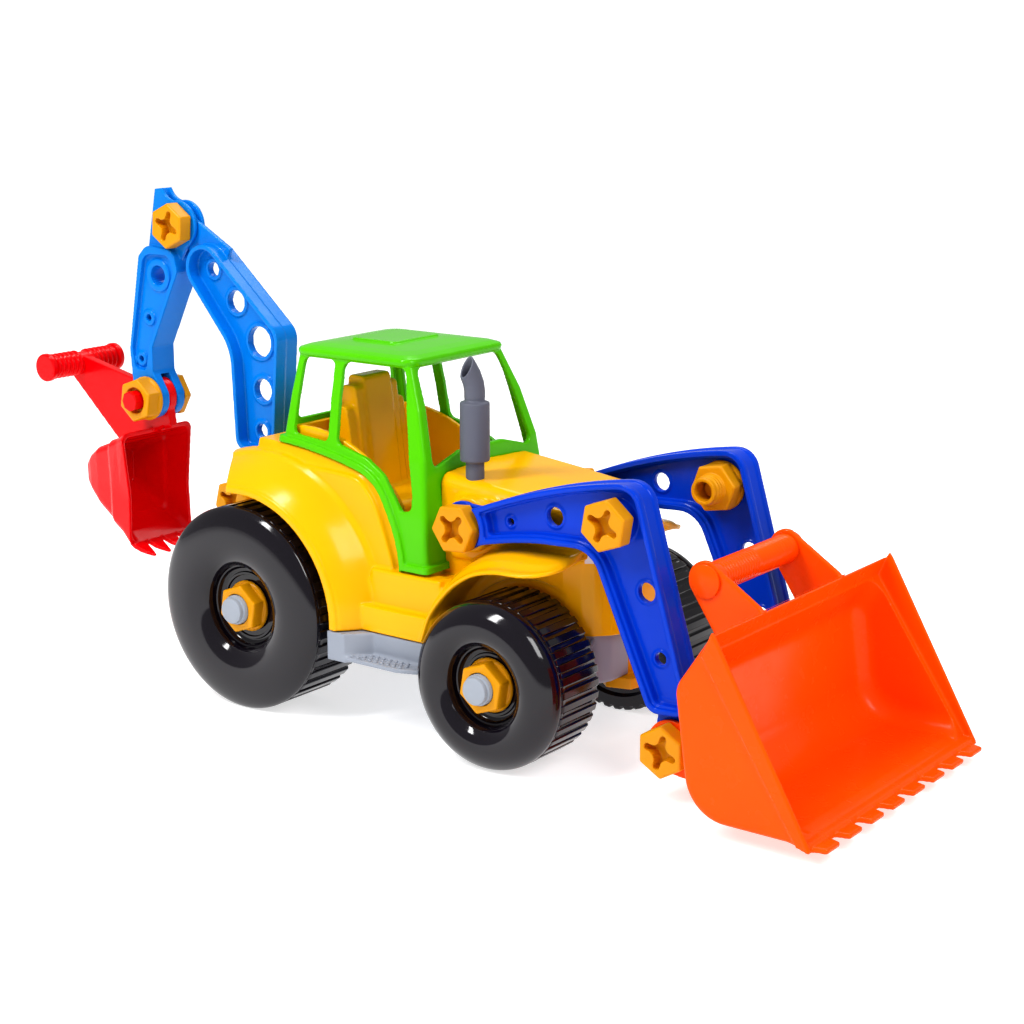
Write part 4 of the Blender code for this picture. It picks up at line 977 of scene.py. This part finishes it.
def make_dipper():
    fork_r = 13.0
    corners = [(-140.5, 246.0, 7), (-147.6, 239.5, 6), (-158.8, 181.0, 12)]
    corners += [(x, z, 0) for x, z in arc(CURL_PIVOT, fork_r, 170, 380, 30)]
    corners += [(-139.0, 168.0, 5), (-139.0, 183.5, 5), (-114.5, 231.5, 6), (-117.5, 244.0, 7)]
    outline = rounded(corners, 8)
    recess = rounded(
        [(-143.5, 240.5, 7), (-156.5, 182.0, 5), (-154.5, 169.0, 3), (-145.0, 169.0, 3),
         (-142.0, 184.0, 5), (-118.0, 231.0, 6), (-121.0, 241.0, 7)], 8
    )
    main = cut(
        slab("dipper", outline, -BOOM_HALF_T, BOOM_HALF_T),
        slab("recess", recess, -BOOM_HALF_T - 1, -BOOM_HALF_T + 3.0),
        slab("recess", recess, BOOM_HALF_T - 3.0, BOOM_HALF_T + 1),
        slab("slot", rectangle((-175.0, 120.0), (-115.0, 166.5)), -CURL_FORK_IN_Y, CURL_FORK_IN_Y),
        solver="EXACT",
    )
    fork = [(-144.6, 238.0), (-135.9, 279.9), (-129.9, 280.6)]
    fork += bend((-129.9, 280.6), (-126.5, 274.0), (-119.5, 273.2), 8)
    fork += arc(ELBOW, 14.6, 100, -62, 30)
    fork += [(-116.0, 238.0)]
    slot = rectangle((-160.0, ELBOW[1] - 15.4), (-80.0, 300.0))
    main = cut(main, slab("slot", slot, -FORK_IN_Y, FORK_IN_Y), solver="EXACT")
    shells = [main, *both_sides("fork", fork, FORK_IN_Y, FORK_OUT_Y)]
    web_holes = (((-133.0, 228.0), 6.0, 10.0), ((-142.5, 201.5), 2.1, 5.0), ((-150.5, 175.3), 1.9, 4.6))
    holes = [(centre, radius) for centre, radius, _ in web_holes]
    holes += [(ELBOW, SHANK_HOLE_R), (CURL_PIVOT, SHANK_HOLE_R)]
    shells = drilled(shells, holes, -20, 20)
    for centre, radius, outer in web_holes:
        for side in (-1, 1):
            floor = side * (BOOM_HALF_T - 3.0)
            shells.append(raised_ring(centre, radius, outer, floor - side * 0.8, floor + side * 1.5))
    dress(mould("dipper", shells, 0.46, 3), "dipper", SKY)
    bolt = hex_bolt(ELBOW, -FORK_OUT_Y - 0.4, FORK_OUT_Y + 1.5, 25.0)
    dress(bolt, "elbow_bolt", FASTENER)


def scoop_loop(x, top_w, waist_w, z_low, z_high, radius):
    """Bucket section whose sides draw in towards the middle."""
    z_mid = z_low + (z_high - z_low) * 0.45
    low_w = waist_w + (top_w - waist_w) * 0.25
    corners = [
        (-low_w, z_low, radius), (low_w, z_low, radius), (waist_w, z_mid, 60),
        (top_w, z_high, radius * 0.8), (-top_w, z_high, radius * 0.8), (-waist_w, z_mid, 60),
    ]
    return [(x, y, z) for y, z in rounded(corners, 6)]


def make_backhoe_bucket():
    stations = [
        (-147.5, 30.2, 25.8, 58.0, 131.6, 6.0), (-149.0, 29.8, 25.6, 59.2, 131.0, 6.0),
        (-156.0, 27.6, 24.8, 65.0, 127.6, 6.0), (-165.0, 25.4, 23.9, 70.0, 124.8, 6.0),
        (-167.5, 23.9, 22.6, 72.0, 122.8, 6.0), (-181.0, 21.6, 20.6, 79.5, 118.0, 6.0),
        (-190.0, 19.0, 18.4, 86.0, 112.4, 6.0), (-195.0, 16.8, 16.3, 90.5, 107.6, 5.0),
        (-197.5, 14.2, 14.0, 94.5, 103.0, 3.6),
    ]
    scoop = loft("scoop", [scoop_loop(*entry) for entry in stations])
    wall_t = 2.2
    inner = [
        (x + 1.5, top - wall_t, waist - wall_t, low + wall_t, high - wall_t, 5.0)
        for x, top, waist, low, high, _ in stations[1:-2]
    ]
    inner.insert(0, (-138.0, 30.6, 25.8, 52.0, 134.0, 5.0))
    cavity = loft("cavity", [scoop_loop(*entry) for entry in inner])
    lever = arc(CURL_PIVOT, 12.5, 75, -35, 20)
    lever += [(-132.0, 134.0), (-146.8, 127.6), (-172.0, 118.0), (-180.0, 121.0)]
    lever += [(-219.5, 157.0), (-215.5, 172.2), (-172.0, 162.8), (-158.0, 160.0)]
    stem = slab("lever", lever, -3.0, 3.0)
    stem = cut(stem, copy_of(cavity), hole(CURL_PIVOT, SHANK_HOLE_R, -20, 20), solver="EXACT")
    scoop = cut(scoop, cavity, solver="EXACT")
    shells = [scoop, stem]
    for k in range(4):
        y_mid = (k - 1.5) * 12.6
        loops = []
        for x, z, half_w, half_t in (
            (-150.5, 61.6, 5.4, 1.5), (-147.0, 59.6, 5.2, 1.5), (-143.0, 57.6, 4.2, 1.4),
            (-138.0, 56.0, 2.6, 1.1), (-133.5, 54.8, 0.9, 0.8),
        ):
            loops.append([
                (x, y_mid - half_w, z - half_t), (x, y_mid + half_w, z - half_t),
                (x, y_mid + half_w, z + half_t), (x, y_mid - half_w, z + half_t),
            ])
        shells.append(loft("tooth", loops))
    end = HANDLE_HALF_LEN
    profile = [(0.0, end), (8.3, end), (8.8, end - 0.5), (8.8, end - 3.4), (8.3, end - 3.8), (6.4, end - 3.9)]
    rings = 6
    pitch = (end - 3.9 - 4.2) / rings
    for k in range(rings):
        top = end - 3.9 - k * pitch
        profile += [(6.3, top - pitch * 0.42), (7.9, top - pitch * 0.5), (8.0, top - pitch * 0.62)]
        profile += [(8.0, top - pitch * 0.82), (7.9, top - pitch * 0.94), (6.3, top - pitch)]
    profile += [(6.6, 3.6), (6.6, 0.0)]
    shells.append(turned("handle", HANDLE_AXIS, both_ways(profile)))
    dress(mould("backhoe", shells, 0.5, 3), "backhoe_bucket", RED)


def make_curl_fasteners():
    stud = rod("stud", CURL_PIVOT, SHANK_R, CURL_CAP_Y - 1.0, -20.0)
    head = slab("head", circle(CURL_PIVOT, 6.3, 8), -18.5, -CURL_STUD_END_Y)
    dress(mould("stud", [stud, head], 0.36, 2, 12000), "curl_stud", RED)
    right = flange_nut(CURL_PIVOT, -BOOM_HALF_T - 0.4, -1, turn_deg=20.0, mouth_r=8.0)
    dress(right, "curl_nut_right", FASTENER)
    left = slab("nut", hexagon(CURL_PIVOT, HEX_FLATS, 0.0), BOOM_HALF_T + 0.4, CURL_CAP_Y)
    left = cut(left, hole(CURL_PIVOT, NUT_HOLE_R, 0, 40))
    dress(mould("nut", [left], 0.42, 3, 12000), "curl_nut_left", FASTENER)


# ---------------------------------------------------------------- body

def band(line, width):
    """Strip between an open line of points and the same line moved to its left by width."""
    moved = []
    for i, (a, b) in enumerate(line):
        before = Vector(line[max(i - 1, 0)])
        after = Vector(line[min(i + 1, len(line) - 1)])
        along = (after - before).normalized()
        moved.append((a - along.y * width, b + along.x * width))
    return list(line) + moved[::-1]


def hood_section(half_w, top, gap=0.0):
    """Hood's cross-section in the front plane, with a domed top and round corners."""
    wide = half_w + gap
    shoulder = top + gap - 1.0
    return rounded([
        (-wide, 66.0, 0), (wide, 66.0, 0), (wide, shoulder, HOOD_CORNER_R), (0.0, shoulder + 2.0, 90),
        (-wide, shoulder, HOOD_CORNER_R),
    ], 10)


def make_mudguard(side):
    """Front mudguard with a rolled lower edge that turns in to the nose."""
    section = (
        (0.0, 0.0), (-0.02, 0.8), (0.0, 1.9), (0.05, 2.5), (0.11, 2.7), (0.16, 3.6), (0.25, 5.8),
        (0.4, 7.9), (0.58, 9.3), (0.78, 10.4), (0.92, 12.6), (1.0, 16.0), (1.12, 18.0), (1.12, 1.6),
        (0.8, 1.6), (0.5, 1.4), (0.2, 0.7), (0.06, -0.2),
    )
    loops = []
    for x, y, z in spline(MUDGUARD_LINE, 4):
        reach = y - MUDGUARD_ROOT_Y
        share = min(1.0, 0.25 + 0.75 * reach / 34.0)
        outward = Vector((min(0.0, x - FRONT_WHEEL[0]), z - FRONT_WHEEL[1])).normalized()
        loop = []
        for inward, rise in section:
            height = rise * (share if rise > 2.6 else 1.0)
            loop.append((x + outward.x * height, side * (y - inward * reach), z + outward.y * height))
        loops.append(loop)
    return loft("mudguard", loops)


def make_saddle():
    """Middle of the body under the cab, with a ledge that runs below the cab's edge."""
    shoulder = spline(SHOULDER_LINE, LINE_STEPS)
    cab_line = spline(CAB_LINE, LINE_STEPS)
    loops = []
    for y, share, lift in (
        (57.0, 0.0, -0.7), (56.5, 0.0, 0.0), (54.2, 0.1, 0.0), (53.3, 0.5, 0.0), (52.4, 1.0, -0.5),
    ):
        line = [
            (a[0] + (b[0] - a[0]) * share, a[1] + (b[1] - a[1]) * share + lift)
            for a, b in zip(shoulder, cab_line)
        ]
        outline = line + [(118.0, 84.0), (118.0, 60.0), (-10.0, 60.0), (-10.0, 100.0)]
        loops.append([(x, -y, z) for x, z in outline])
    loops += [[(x, -y, z) for x, y, z in loop] for loop in reversed(loops)]
    return loft("saddle", loops)


def make_sills(side):
    low = rectangle((60.0, SHELL_BOTTOM_Z), (128.0, 70.5))
    high = rectangle((80.0, 66.0), (128.0, 89.8))
    return [slab("sill", low, side * 50.0, side * 68.0), slab("sill", high, side * 50.0, side * 61.5)]


def make_fender(side):
    """Rear fender, crowned across its width and rolled in at its outer edge."""
    sections = spline([
        (50.0, 87.5), (57.0, 86.0), (59.0, 84.2), (62.0, 82.4), (66.0, 80.2), (71.0, 77.0), (75.0, 73.8),
    ], 3)
    loops = []
    for y, radius in sections + [(77.6, 71.4), (78.0, 70.2), (79.2, 69.9), (79.8, 69.2)]:
        end_deg = 97.5 + (80.0 - y) * 0.42
        outline = arc(REAR_WHEEL, radius, -1.2, end_deg, 44)
        outline += arc(REAR_WHEEL, FENDER_EDGE_R, end_deg + 1.0, -1.2, 44)
        loops.append([(x, side * y, z) for x, z in outline])
    return loft("fender", loops)


def make_hood():
    """Hood that falls gently forwards and closes in a rounded nose."""
    loops = []
    for x, narrowing, drop in (
        (112.0, 0.0, 0.0), (150.0, 0.4, 0.0), (178.0, 1.6, 0.0), (190.0, 3.2, 0.2), (200.0, 6.5, 1.5),
        (205.0, 9.6, 3.0), (208.5, 13.0, 5.0), (211.8, 17.0, 8.0), (214.0, 21.0, 11.0),
    ):
        top = HOOD_TOP_Z - HOOD_SLOPE * (x - 112.0) - drop
        loops.append([(x, y, z) for y, z in hood_section(HOOD_HALF_W - narrowing, top)])
    return loft("hood", loops)


def make_pads(side):
    """Flat seat on the hood's side and the boss on it that carries a loader arm."""
    pad = rounded([(118.0, 98.0, 4), (158.0, 100.0, 8), (153.0, 134.0, 8), (122.0, 134.5, 8)], 6)
    return [
        slab("pad", pad, side * 36.0, side * PAD_Y),
        rod("boss", LOADER_PIVOT, PIVOT_BOSS_R, side * 36.0, side * PIVOT_BOSS_Y),
    ]


def make_tub_walls():
    """Walls round the driver's place, and the ears behind it that hold the boom's foot."""
    edge = arc(SADDLE_CENTRE, SADDLE_R + 9.0, 97, 20, 40) + arc(SADDLE_CENTRE, SADDLE_R - 6.0, 20, 97, 40)
    walls = both_sides("tub_wall", edge, TUB_HALF_W - TUB_WALL, TUB_HALF_W)
    back_wall = rectangle((9.5, 120.0), (14.0, 158.3))
    walls.append(slab("tub_wall", back_wall, -TUB_HALF_W + 1.0, TUB_HALF_W - 1.0))
    ear = arc(FOOT_PIVOT, 13.0, 90, 270, 30) + [(-20.0, 76.0), (-20.0, 124.0)]
    return walls + both_sides("ear", ear, 4.5, 9.5)


def body_hollows():
    """Wheel wells, the room for the chassis, and the holes for axle and bolts."""
    well = circle(REAR_WHEEL, FENDER_EDGE_R - 1.5, 96)
    return [
        hole(REAR_WHEEL, 12.0, -90, 90),
        hole(FRONT_WHEEL, 48.5, -90, -36.2, 96), hole(FRONT_WHEEL, 48.5, 36.2, 90, 96),
        slab("well", well, -90, -37.0), slab("well", well, 37.0, 90),
        box("belly", (-60.0, -31.0, 30.0), (200.0, 31.0, 76.5)),
        hole(FOOT_PIVOT, SHANK_HOLE_R, -30, 30),
        hole(LOADER_PIVOT, SHANK_HOLE_R, -60, -25), hole(LOADER_PIVOT, SHANK_HOLE_R, 25, 60),
        plate("hole", circle(CHASSIS_BOLT, SHANK_HOLE_R), 60.0, 92.0),
    ]


def make_body_shell():
    shelf = [(-28.0, 108.0), (-28.0, 131.0), (-8.0, 133.0), (-8.0, 145.0), (0.0, 145.0), (0.0, 108.0)]
    shell = slab("shelf", shelf, -BODY_HALF_W + 3.0, BODY_HALF_W - 3.0)
    shell = join(shell, make_saddle())
    floor = rectangle((-10.0, SHELL_BOTTOM_Z), (128.0, 88.0))
    shell = join(shell, slab("sides", floor, -BODY_HALF_W, BODY_HALF_W))
    shell = join(shell, *make_sills(-1), *make_sills(1), make_fender(-1), make_fender(1), make_hood())
    shell = join(shell, *make_pads(-1), *make_pads(1), make_mudguard(-1), make_mudguard(1))
    tub = rectangle((14.0, TUB_FLOOR_Z), (104.0, 200.0))
    shell = cut(shell, slab("tub", tub, -TUB_HALF_W + TUB_WALL, TUB_HALF_W - TUB_WALL))
    back = box("back", (-30.0, -30.0, 76.0), (-8.0, 30.0, 124.0))
    shell = join(shell, back, *make_tub_walls())
    shell = cut(shell, *body_hollows())
    dress(mould("body", [shell], 0.8, 3, 190000), "body_shell", YELLOW)


def make_headlights():
    for side, label in ((-1, "right"), (1, "left")):
        outline = [
            (201.2, side * 33.3), (207.6, side * 28.3), (208.9, side * 29.9), (202.5, side * 34.9),
        ]
        lens = plate("lens", outline, 106.0, 115.0)
        dress(mould("lens", [lens], 0.25, 2, 12000), "headlight_" + label, LENS)


def make_seat():
    floor = TUB_FLOOR_Z + 0.4
    shells = []
    cushion = rounded([(20.0, floor, 0), (66.0, floor, 2), (68.0, 116.0, 5), (30.0, 120.0, 2)], 6)
    shells.append(slab("cushion", cushion, -25.0, 25.0))
    for half_w, top, front, lean in (
        (25.0, 167.5, 40.0, 33.0), (18.0, 178.5, 41.0, 34.0), (11.5, 183.6, 42.0, 34.5),
    ):
        back = rounded([
            (21.0, 110.0, 0), (front, 110.0, 0), (front, 119.0, 4), (lean, top, 3), (22.5, top, 3),
        ], 6)
        shells.append(slab("back", back, -half_w, half_w))
    dress(mould("seat", shells, 0.8, 5), "seat", YELLOW)


# ---------------------------------------------------------------- cab

def cab_loops(shrink):
    """Upright sections of the cab's outside, each side moved in by shrink."""
    loops = []
    for z, x_rear, x_front, half_w in (
        (80.0, 4.0, 116.5, 58.4), (120.0, 6.0, 113.5, 55.0), (150.0, 8.0, 110.0, 51.5),
        (176.0, 10.0, 102.5, 46.5), (198.0, 12.0, 93.0, 41.0),
    ):
        outline = round_plan(x_rear + shrink, x_front - shrink, half_w - shrink, 3, 6)
        loops.append([(x, y, z) for x, y in outline])
    return loops


def make_cab():
    cab = loft("cab_frame", cab_loops(0.0))
    line = spline(CAB_LINE, LINE_STEPS)
    # Raised band along the lower edge and round the foot of the front pillar.
    bands = (band(line[2:-2:2], CAB_TRIM_W), [(96.0, 90.0), (120.0, 90.0), (120.0, 95.0), (97.0, 95.0)])
    trims = [slab("trim", outline, -ACROSS, ACROSS) for outline in bands]
    for trim in trims:
        boolean(trim, [loft("limit", cab_loops(-CAB_TRIM_PROUD))], "INTERSECT", "EXACT")
    cab = join(cab, *trims, solver="EXACT")
    roof_loops = []
    for z, grow in (
        (197.6, 0.3), (198.4, 1.4), (200.4, 1.9), (202.0, 1.2), (203.4, -2.5), (204.4, -9.0), (205.2, -19.0),
        (205.6, -28.0),
    ):
        outline = round_plan(11.5 - grow, 93.0 + grow, 41.0 + grow, 8)
        roof_loops.append([(x, y, z) for x, y in outline])
    cab = join(cab, loft("roof", roof_loops), solver="EXACT")
    below = line + [(98.6, 91.0), (120.0, 91.0), (140.0, 91.0), (140.0, 30.0), (-40.0, 30.0), (-40.0, 151.6)]
    hood_way = wall("hood_way", hood_section(HOOD_HALF_W, HOOD_TOP_Z, -1.6), 60.0, 140.0)
    cab = cut(
        cab, loft("inside", cab_loops(CAB_WALL)), slab("below", below, -ACROSS, ACROSS), hood_way,
        solver="EXACT",
    )
    rear_side = rounded([(15.8, 154.9, 3.5), (41.5, 152.7, 3.5), (39.8, 197.0, 3.5), (17.2, 197.0, 4)])
    door = rounded([
        (47.8, 153.0, 4), (70.0, 147.5, 14), (82.5, 140.2, 12), (96.2, 121.8, 2.5), (103.2, 123.4, 3),
        (103.3, 131.3, 6), (90.0, 197.0, 5), (45.8, 197.0, 5),
    ])
    front = rounded([
        (-44.8, 144.5, 4), (-34.0, 147.6, 10), (-19.0, 151.6, 14), (19.0, 151.6, 14), (34.0, 147.6, 10),
        (44.8, 144.5, 4), (35.8, 197.0, 5), (-35.8, 197.0, 5),
    ])
    rear = rounded([(-43.0, 161.5, 5), (43.0, 161.5, 5), (36.0, 197.0, 5), (-36.0, 197.0, 5)])
    cab = cut(
        cab, slab("window", rear_side, -ACROSS, ACROSS), slab("window", door, -ACROSS, ACROSS),
        wall("window", front, 85.0, 130.0), wall("window", rear, -20.0, 25.0), solver="EXACT",
    )
    hatch = plate("hatch", round_plan(32.0, 65.0, 20.0, 4), 203.0, 206.6)
    dress(mould("cab", [cab, hatch], 0.55, 2, 130000), "cab_frame", GREEN)


# ---------------------------------------------------------------- exhaust and chassis

def make_exhaust():
    x, y = EXHAUST
    levels = (
        (138.6, 5.0), (149.6, 5.0), (150.0, 5.4), (150.3, 7.5), (150.8, 8.0), (181.4, 8.0), (182.0, 7.6),
        (182.4, 5.8), (183.0, 5.4), (194.0, 5.4),
    )
    stack = loft("stack", [[(px, py, z) for px, py in circle((x, y), radius)] for z, radius in levels])
    mouth = []
    bore = []
    for along, z, tilt in (
        (0.0, 184.0, 0.0), (0.0, 188.0, 0.0), (-0.6, 192.0, 0.2), (-2.2, 196.5, 0.42), (-4.6, 201.0, 0.6),
        (-7.6, 205.6, 0.75), (-11.2, 210.4, 0.8),
    ):
        for loops, radius in ((mouth, 5.6), (bore, 4.3)):
            loop = []
            for px, py in circle((0.0, 0.0), radius):
                lean = along + px * math.cos(tilt)
                side_x = x + lean * STACK_LEAN[0] - py * STACK_LEAN[1]
                side_y = y + lean * STACK_LEAN[1] + py * STACK_LEAN[0]
                loop.append((side_x, side_y, z + px * math.sin(tilt)))
            loops.append(loop)
    spout = cut(loft("mouth", mouth), loft("bore", bore[2:]), solver="EXACT")
    # The outlet is cut off on a steep slant that faces the rear near corner.
    face = Vector(STACK_FACE).normalized()
    across = face.cross(Vector((0, 0, 1))).normalized()
    upward = across.cross(face)
    origin = Vector((x, y, 0)) + Vector(STACK_CUT)
    square = rectangle((-40.0, -40.0), (40.0, 40.0))
    cutter = loft("cutter", [
        [tuple(origin + across * wide + upward * rise + face * depth) for wide, rise in square]
        for depth in (0.0, 60.0)
    ])
    spout = cut(spout, cutter, solver="EXACT")
    stack = cut(stack, plate("top", circle((x, y), 9.0), 190.0, 200.0))
    dress(mould("stack", [stack, spout], 0.36, 3, 40000), "exhaust_stack", MATTE)


def make_chassis():
    beam = box("beam", (-24.0, -30.0, CHASSIS_BOTTOM_Z), (196.0, 30.0, 75.8))
    nose_outline = rounded([
        (150.0, -33.0, 0), (204.0, -33.0, 10), (209.5, -20.0, 6), (209.5, 20.0, 6), (204.0, 33.0, 10),
        (150.0, 33.0, 0),
    ])
    nose = plate("nose", nose_outline, CHASSIS_BOTTOM_Z, 71.4)
    shells = [beam, nose]
    for side in (-1, 1):
        skirt = [
            (63.5, side * 20.0), (63.5, side * 79.5), (75.5, side * 79.5), (87.0, side * 67.5),
            (124.0, side * 67.5), (124.0, side * 20.0),
        ]
        shells.append(plate("skirt", skirt, CHASSIS_BOTTOM_Z, CHASSIS_TOP_Z))
        tread = [
            (74.0, side * 60.0), (74.0, side * 79.5), (112.0, side * 79.5), (124.0, side * 75.0),
            (124.0, side * 60.0),
        ]
        shells.append(plate("tread", tread, CHASSIS_BOTTOM_Z + 1.0, CHASSIS_BOTTOM_Z + 3.5))
    axle_hole_r = AXLE_R + RUNNING_GAP
    shells = [
        cut(
            shell, hole(REAR_WHEEL, axle_hole_r, -60, 60), hole(FRONT_WHEEL, axle_hole_r, -60, 60),
            plate("hole", circle(CHASSIS_BOLT, SHANK_HOLE_R), 20.0, 92.0), solver="EXACT",
        )
        for shell in shells
    ]
    frame_skin = mould("chassis", shells, 0.8, 2, 99000)
    details = [frame_skin]
    for side in (-1, 1):
        # Dimpled grip on the side steps.
        for row in range(3):
            for k in range(9):
                centre = (79.0 + k * 4.2 + row % 2 * 2.1, side * (70.0 + row * 3.4))
                levels = ((0.0, 1.3), (0.6, 1.2), (1.0, 0.8), (1.15, 0.3))
                details.append(loft("dimple", [
                    [(x, y, CHASSIS_BOTTOM_Z + 3.3 + rise) for x, y in circle(centre, radius, 10)]
                    for rise, radius in levels
                ]))
        # Slanted ribs on the nose, beside and ahead of the wheels.
        for k in range(5):
            x = 172.0 + k * 6.5
            rib = [(x, 46.0), (x + 1.4, 46.0), (x + 9.4, 66.0), (x + 8.0, 66.0)]
            details.append(slab("rib", rib, side * 31.5, side * 33.9))
    dress(gather("chassis", details), "chassis", GREY)
    head = plate("bolt", hexagon(CHASSIS_BOLT, HEX_FLATS, 17.0), 33.6, CHASSIS_BOTTOM_Z - 0.4)
    shank = plate("shank", circle(CHASSIS_BOLT, SHANK_R), 36.0, 86.0)
    dress(mould("bolt", [head, shank], 0.45, 3, 14000), "chassis_bolt", FASTENER)


def make_body_fasteners():
    pivot_bolt = hex_bolt(LOADER_PIVOT, -(ARM_MID_Y + TAB_HALF_T + 0.4), -30.0, 5.0)
    dress_pair(pivot_bolt, "loader_pivot_bolt_right", FASTENER)
    foot_bolt = hex_bolt(FOOT_PIVOT, -9.9, 26.0, 15.0)
    dress(foot_bolt, "boom_foot_bolt", FASTENER)
    dress(flange_nut(FOOT_PIVOT, 9.9, 1, turn_deg=15.0), "boom_foot_nut", FASTENER)


# ---------------------------------------------------------------- studio

def direction(azimuth_deg, elevation_deg):
    azimuth = math.radians(azimuth_deg)
    elevation = math.radians(elevation_deg)
    level = math.cos(elevation)
    return Vector((math.sin(azimuth) * level, -math.cos(azimuth) * level, math.sin(elevation)))


def make_camera():
    azimuth = math.radians(VIEW_AZIMUTH)
    roll = math.radians(VIEW_ROLL)
    back = direction(VIEW_AZIMUTH, VIEW_ELEVATION)
    level = Vector((math.cos(azimuth), math.sin(azimuth), 0))
    upright = back.cross(level)
    right = level * math.cos(roll) + upright * math.sin(roll)
    up = upright * math.cos(roll) - level * math.sin(roll)
    eye = (Vector(VIEW_TARGET) + back * VIEW_DISTANCE) * MM + Vector((REAR_AXLE_X, 0, 0))
    data = bpy.data.cameras.new("camera")
    data.lens = CAMERA_LENS
    data.sensor_width = SENSOR
    data.clip_start = 0.05
    camera = place("camera", data)
    camera.matrix_world = Matrix((
        (right.x, up.x, back.x, eye.x), (right.y, up.y, back.y, eye.y),
        (right.z, up.z, back.z, eye.z), (0, 0, 0, 1),
    ))
    bpy.context.scene.camera = camera


def add_light(name, azimuth_deg, elevation_deg, distance, size, power):
    """Rectangular lamp that faces the vehicle; distance and size are in metres, power in watts."""
    away = direction(azimuth_deg, elevation_deg)
    data = bpy.data.lights.new(name, "AREA")
    data.shape = "RECTANGLE"
    data.size, data.size_y = size
    data.energy = power
    light = place(name, data)
    light.location = away * distance + Vector((0, 0, AIM_HEIGHT))
    light.rotation_euler = away.to_track_quat("Z", "Y").to_euler()


def make_studio():
    size = FLOOR_HALF_SIZE
    corners = [(x, y, 0) for x, y in rectangle((-size, -size), (size, size))]
    mesh = bpy.data.meshes.new("floor")
    mesh.from_pydata(corners, [], [(0, 1, 2, 3)])
    floor = place("floor", mesh)
    paper = bpy.data.materials.new("white_paper")
    paper.use_nodes = True
    shader = paper.node_tree.nodes["Principled BSDF"]
    shader.inputs["Base Color"].default_value = (0.7, 0.7, 0.7, 1)
    shader.inputs["Roughness"].default_value = 0.95
    shader.inputs["Specular IOR Level"].default_value = 0.0
    shader.inputs["Emission Color"].default_value = (1, 1, 1, 1)
    shader.inputs["Emission Strength"].default_value = FLOOR_GLOW
    mesh.materials.append(paper)
    world = bpy.data.worlds.new("studio")
    world.use_nodes = True
    nodes = world.node_tree.nodes
    links = world.node_tree.links
    room = nodes["Background"]
    room.inputs["Color"].default_value = (1, 1, 1, 1)
    room.inputs["Strength"].default_value = ROOM_LIGHT
    backdrop = nodes.new("ShaderNodeBackground")
    backdrop.inputs["Color"].default_value = (1, 1, 1, 1)
    backdrop.inputs["Strength"].default_value = 1.0
    path = nodes.new("ShaderNodeLightPath")
    mix = nodes.new("ShaderNodeMixShader")
    links.new(path.outputs["Is Camera Ray"], mix.inputs["Fac"])
    links.new(room.outputs["Background"], mix.inputs[1])
    links.new(backdrop.outputs["Background"], mix.inputs[2])
    links.new(mix.outputs["Shader"], nodes["World Output"].inputs["Surface"])
    bpy.context.scene.world = world
    bpy.context.scene.view_settings.view_transform = "Standard"
    bpy.context.scene.view_settings.look = "Medium High Contrast"
    add_light("key", -22, 50, 1.5, (0.22, 0.9), 15)
    add_light("fill", 68, 42, 1.6, (0.5, 0.7), 9)
    add_light("rim", 200, 55, 1.8, (1.0, 0.6), 7)


make_camera()
make_studio()
make_wheel("rear", REAR_WHEEL, REAR_WHEEL_R, REAR_SEAM_Y)
make_wheel("front", FRONT_WHEEL, FRONT_WHEEL_R, FRONT_SEAM_Y)
make_axle("rear", REAR_WHEEL)
make_axle("front", FRONT_WHEEL)
make_loader_group()
make_loader_bucket()
make_boom()
make_dipper()
make_backhoe_bucket()
make_curl_fasteners()
make_body_shell()
make_headlights()
make_seat()
make_cab()
make_exhaust()
make_chassis()
make_body_fasteners()
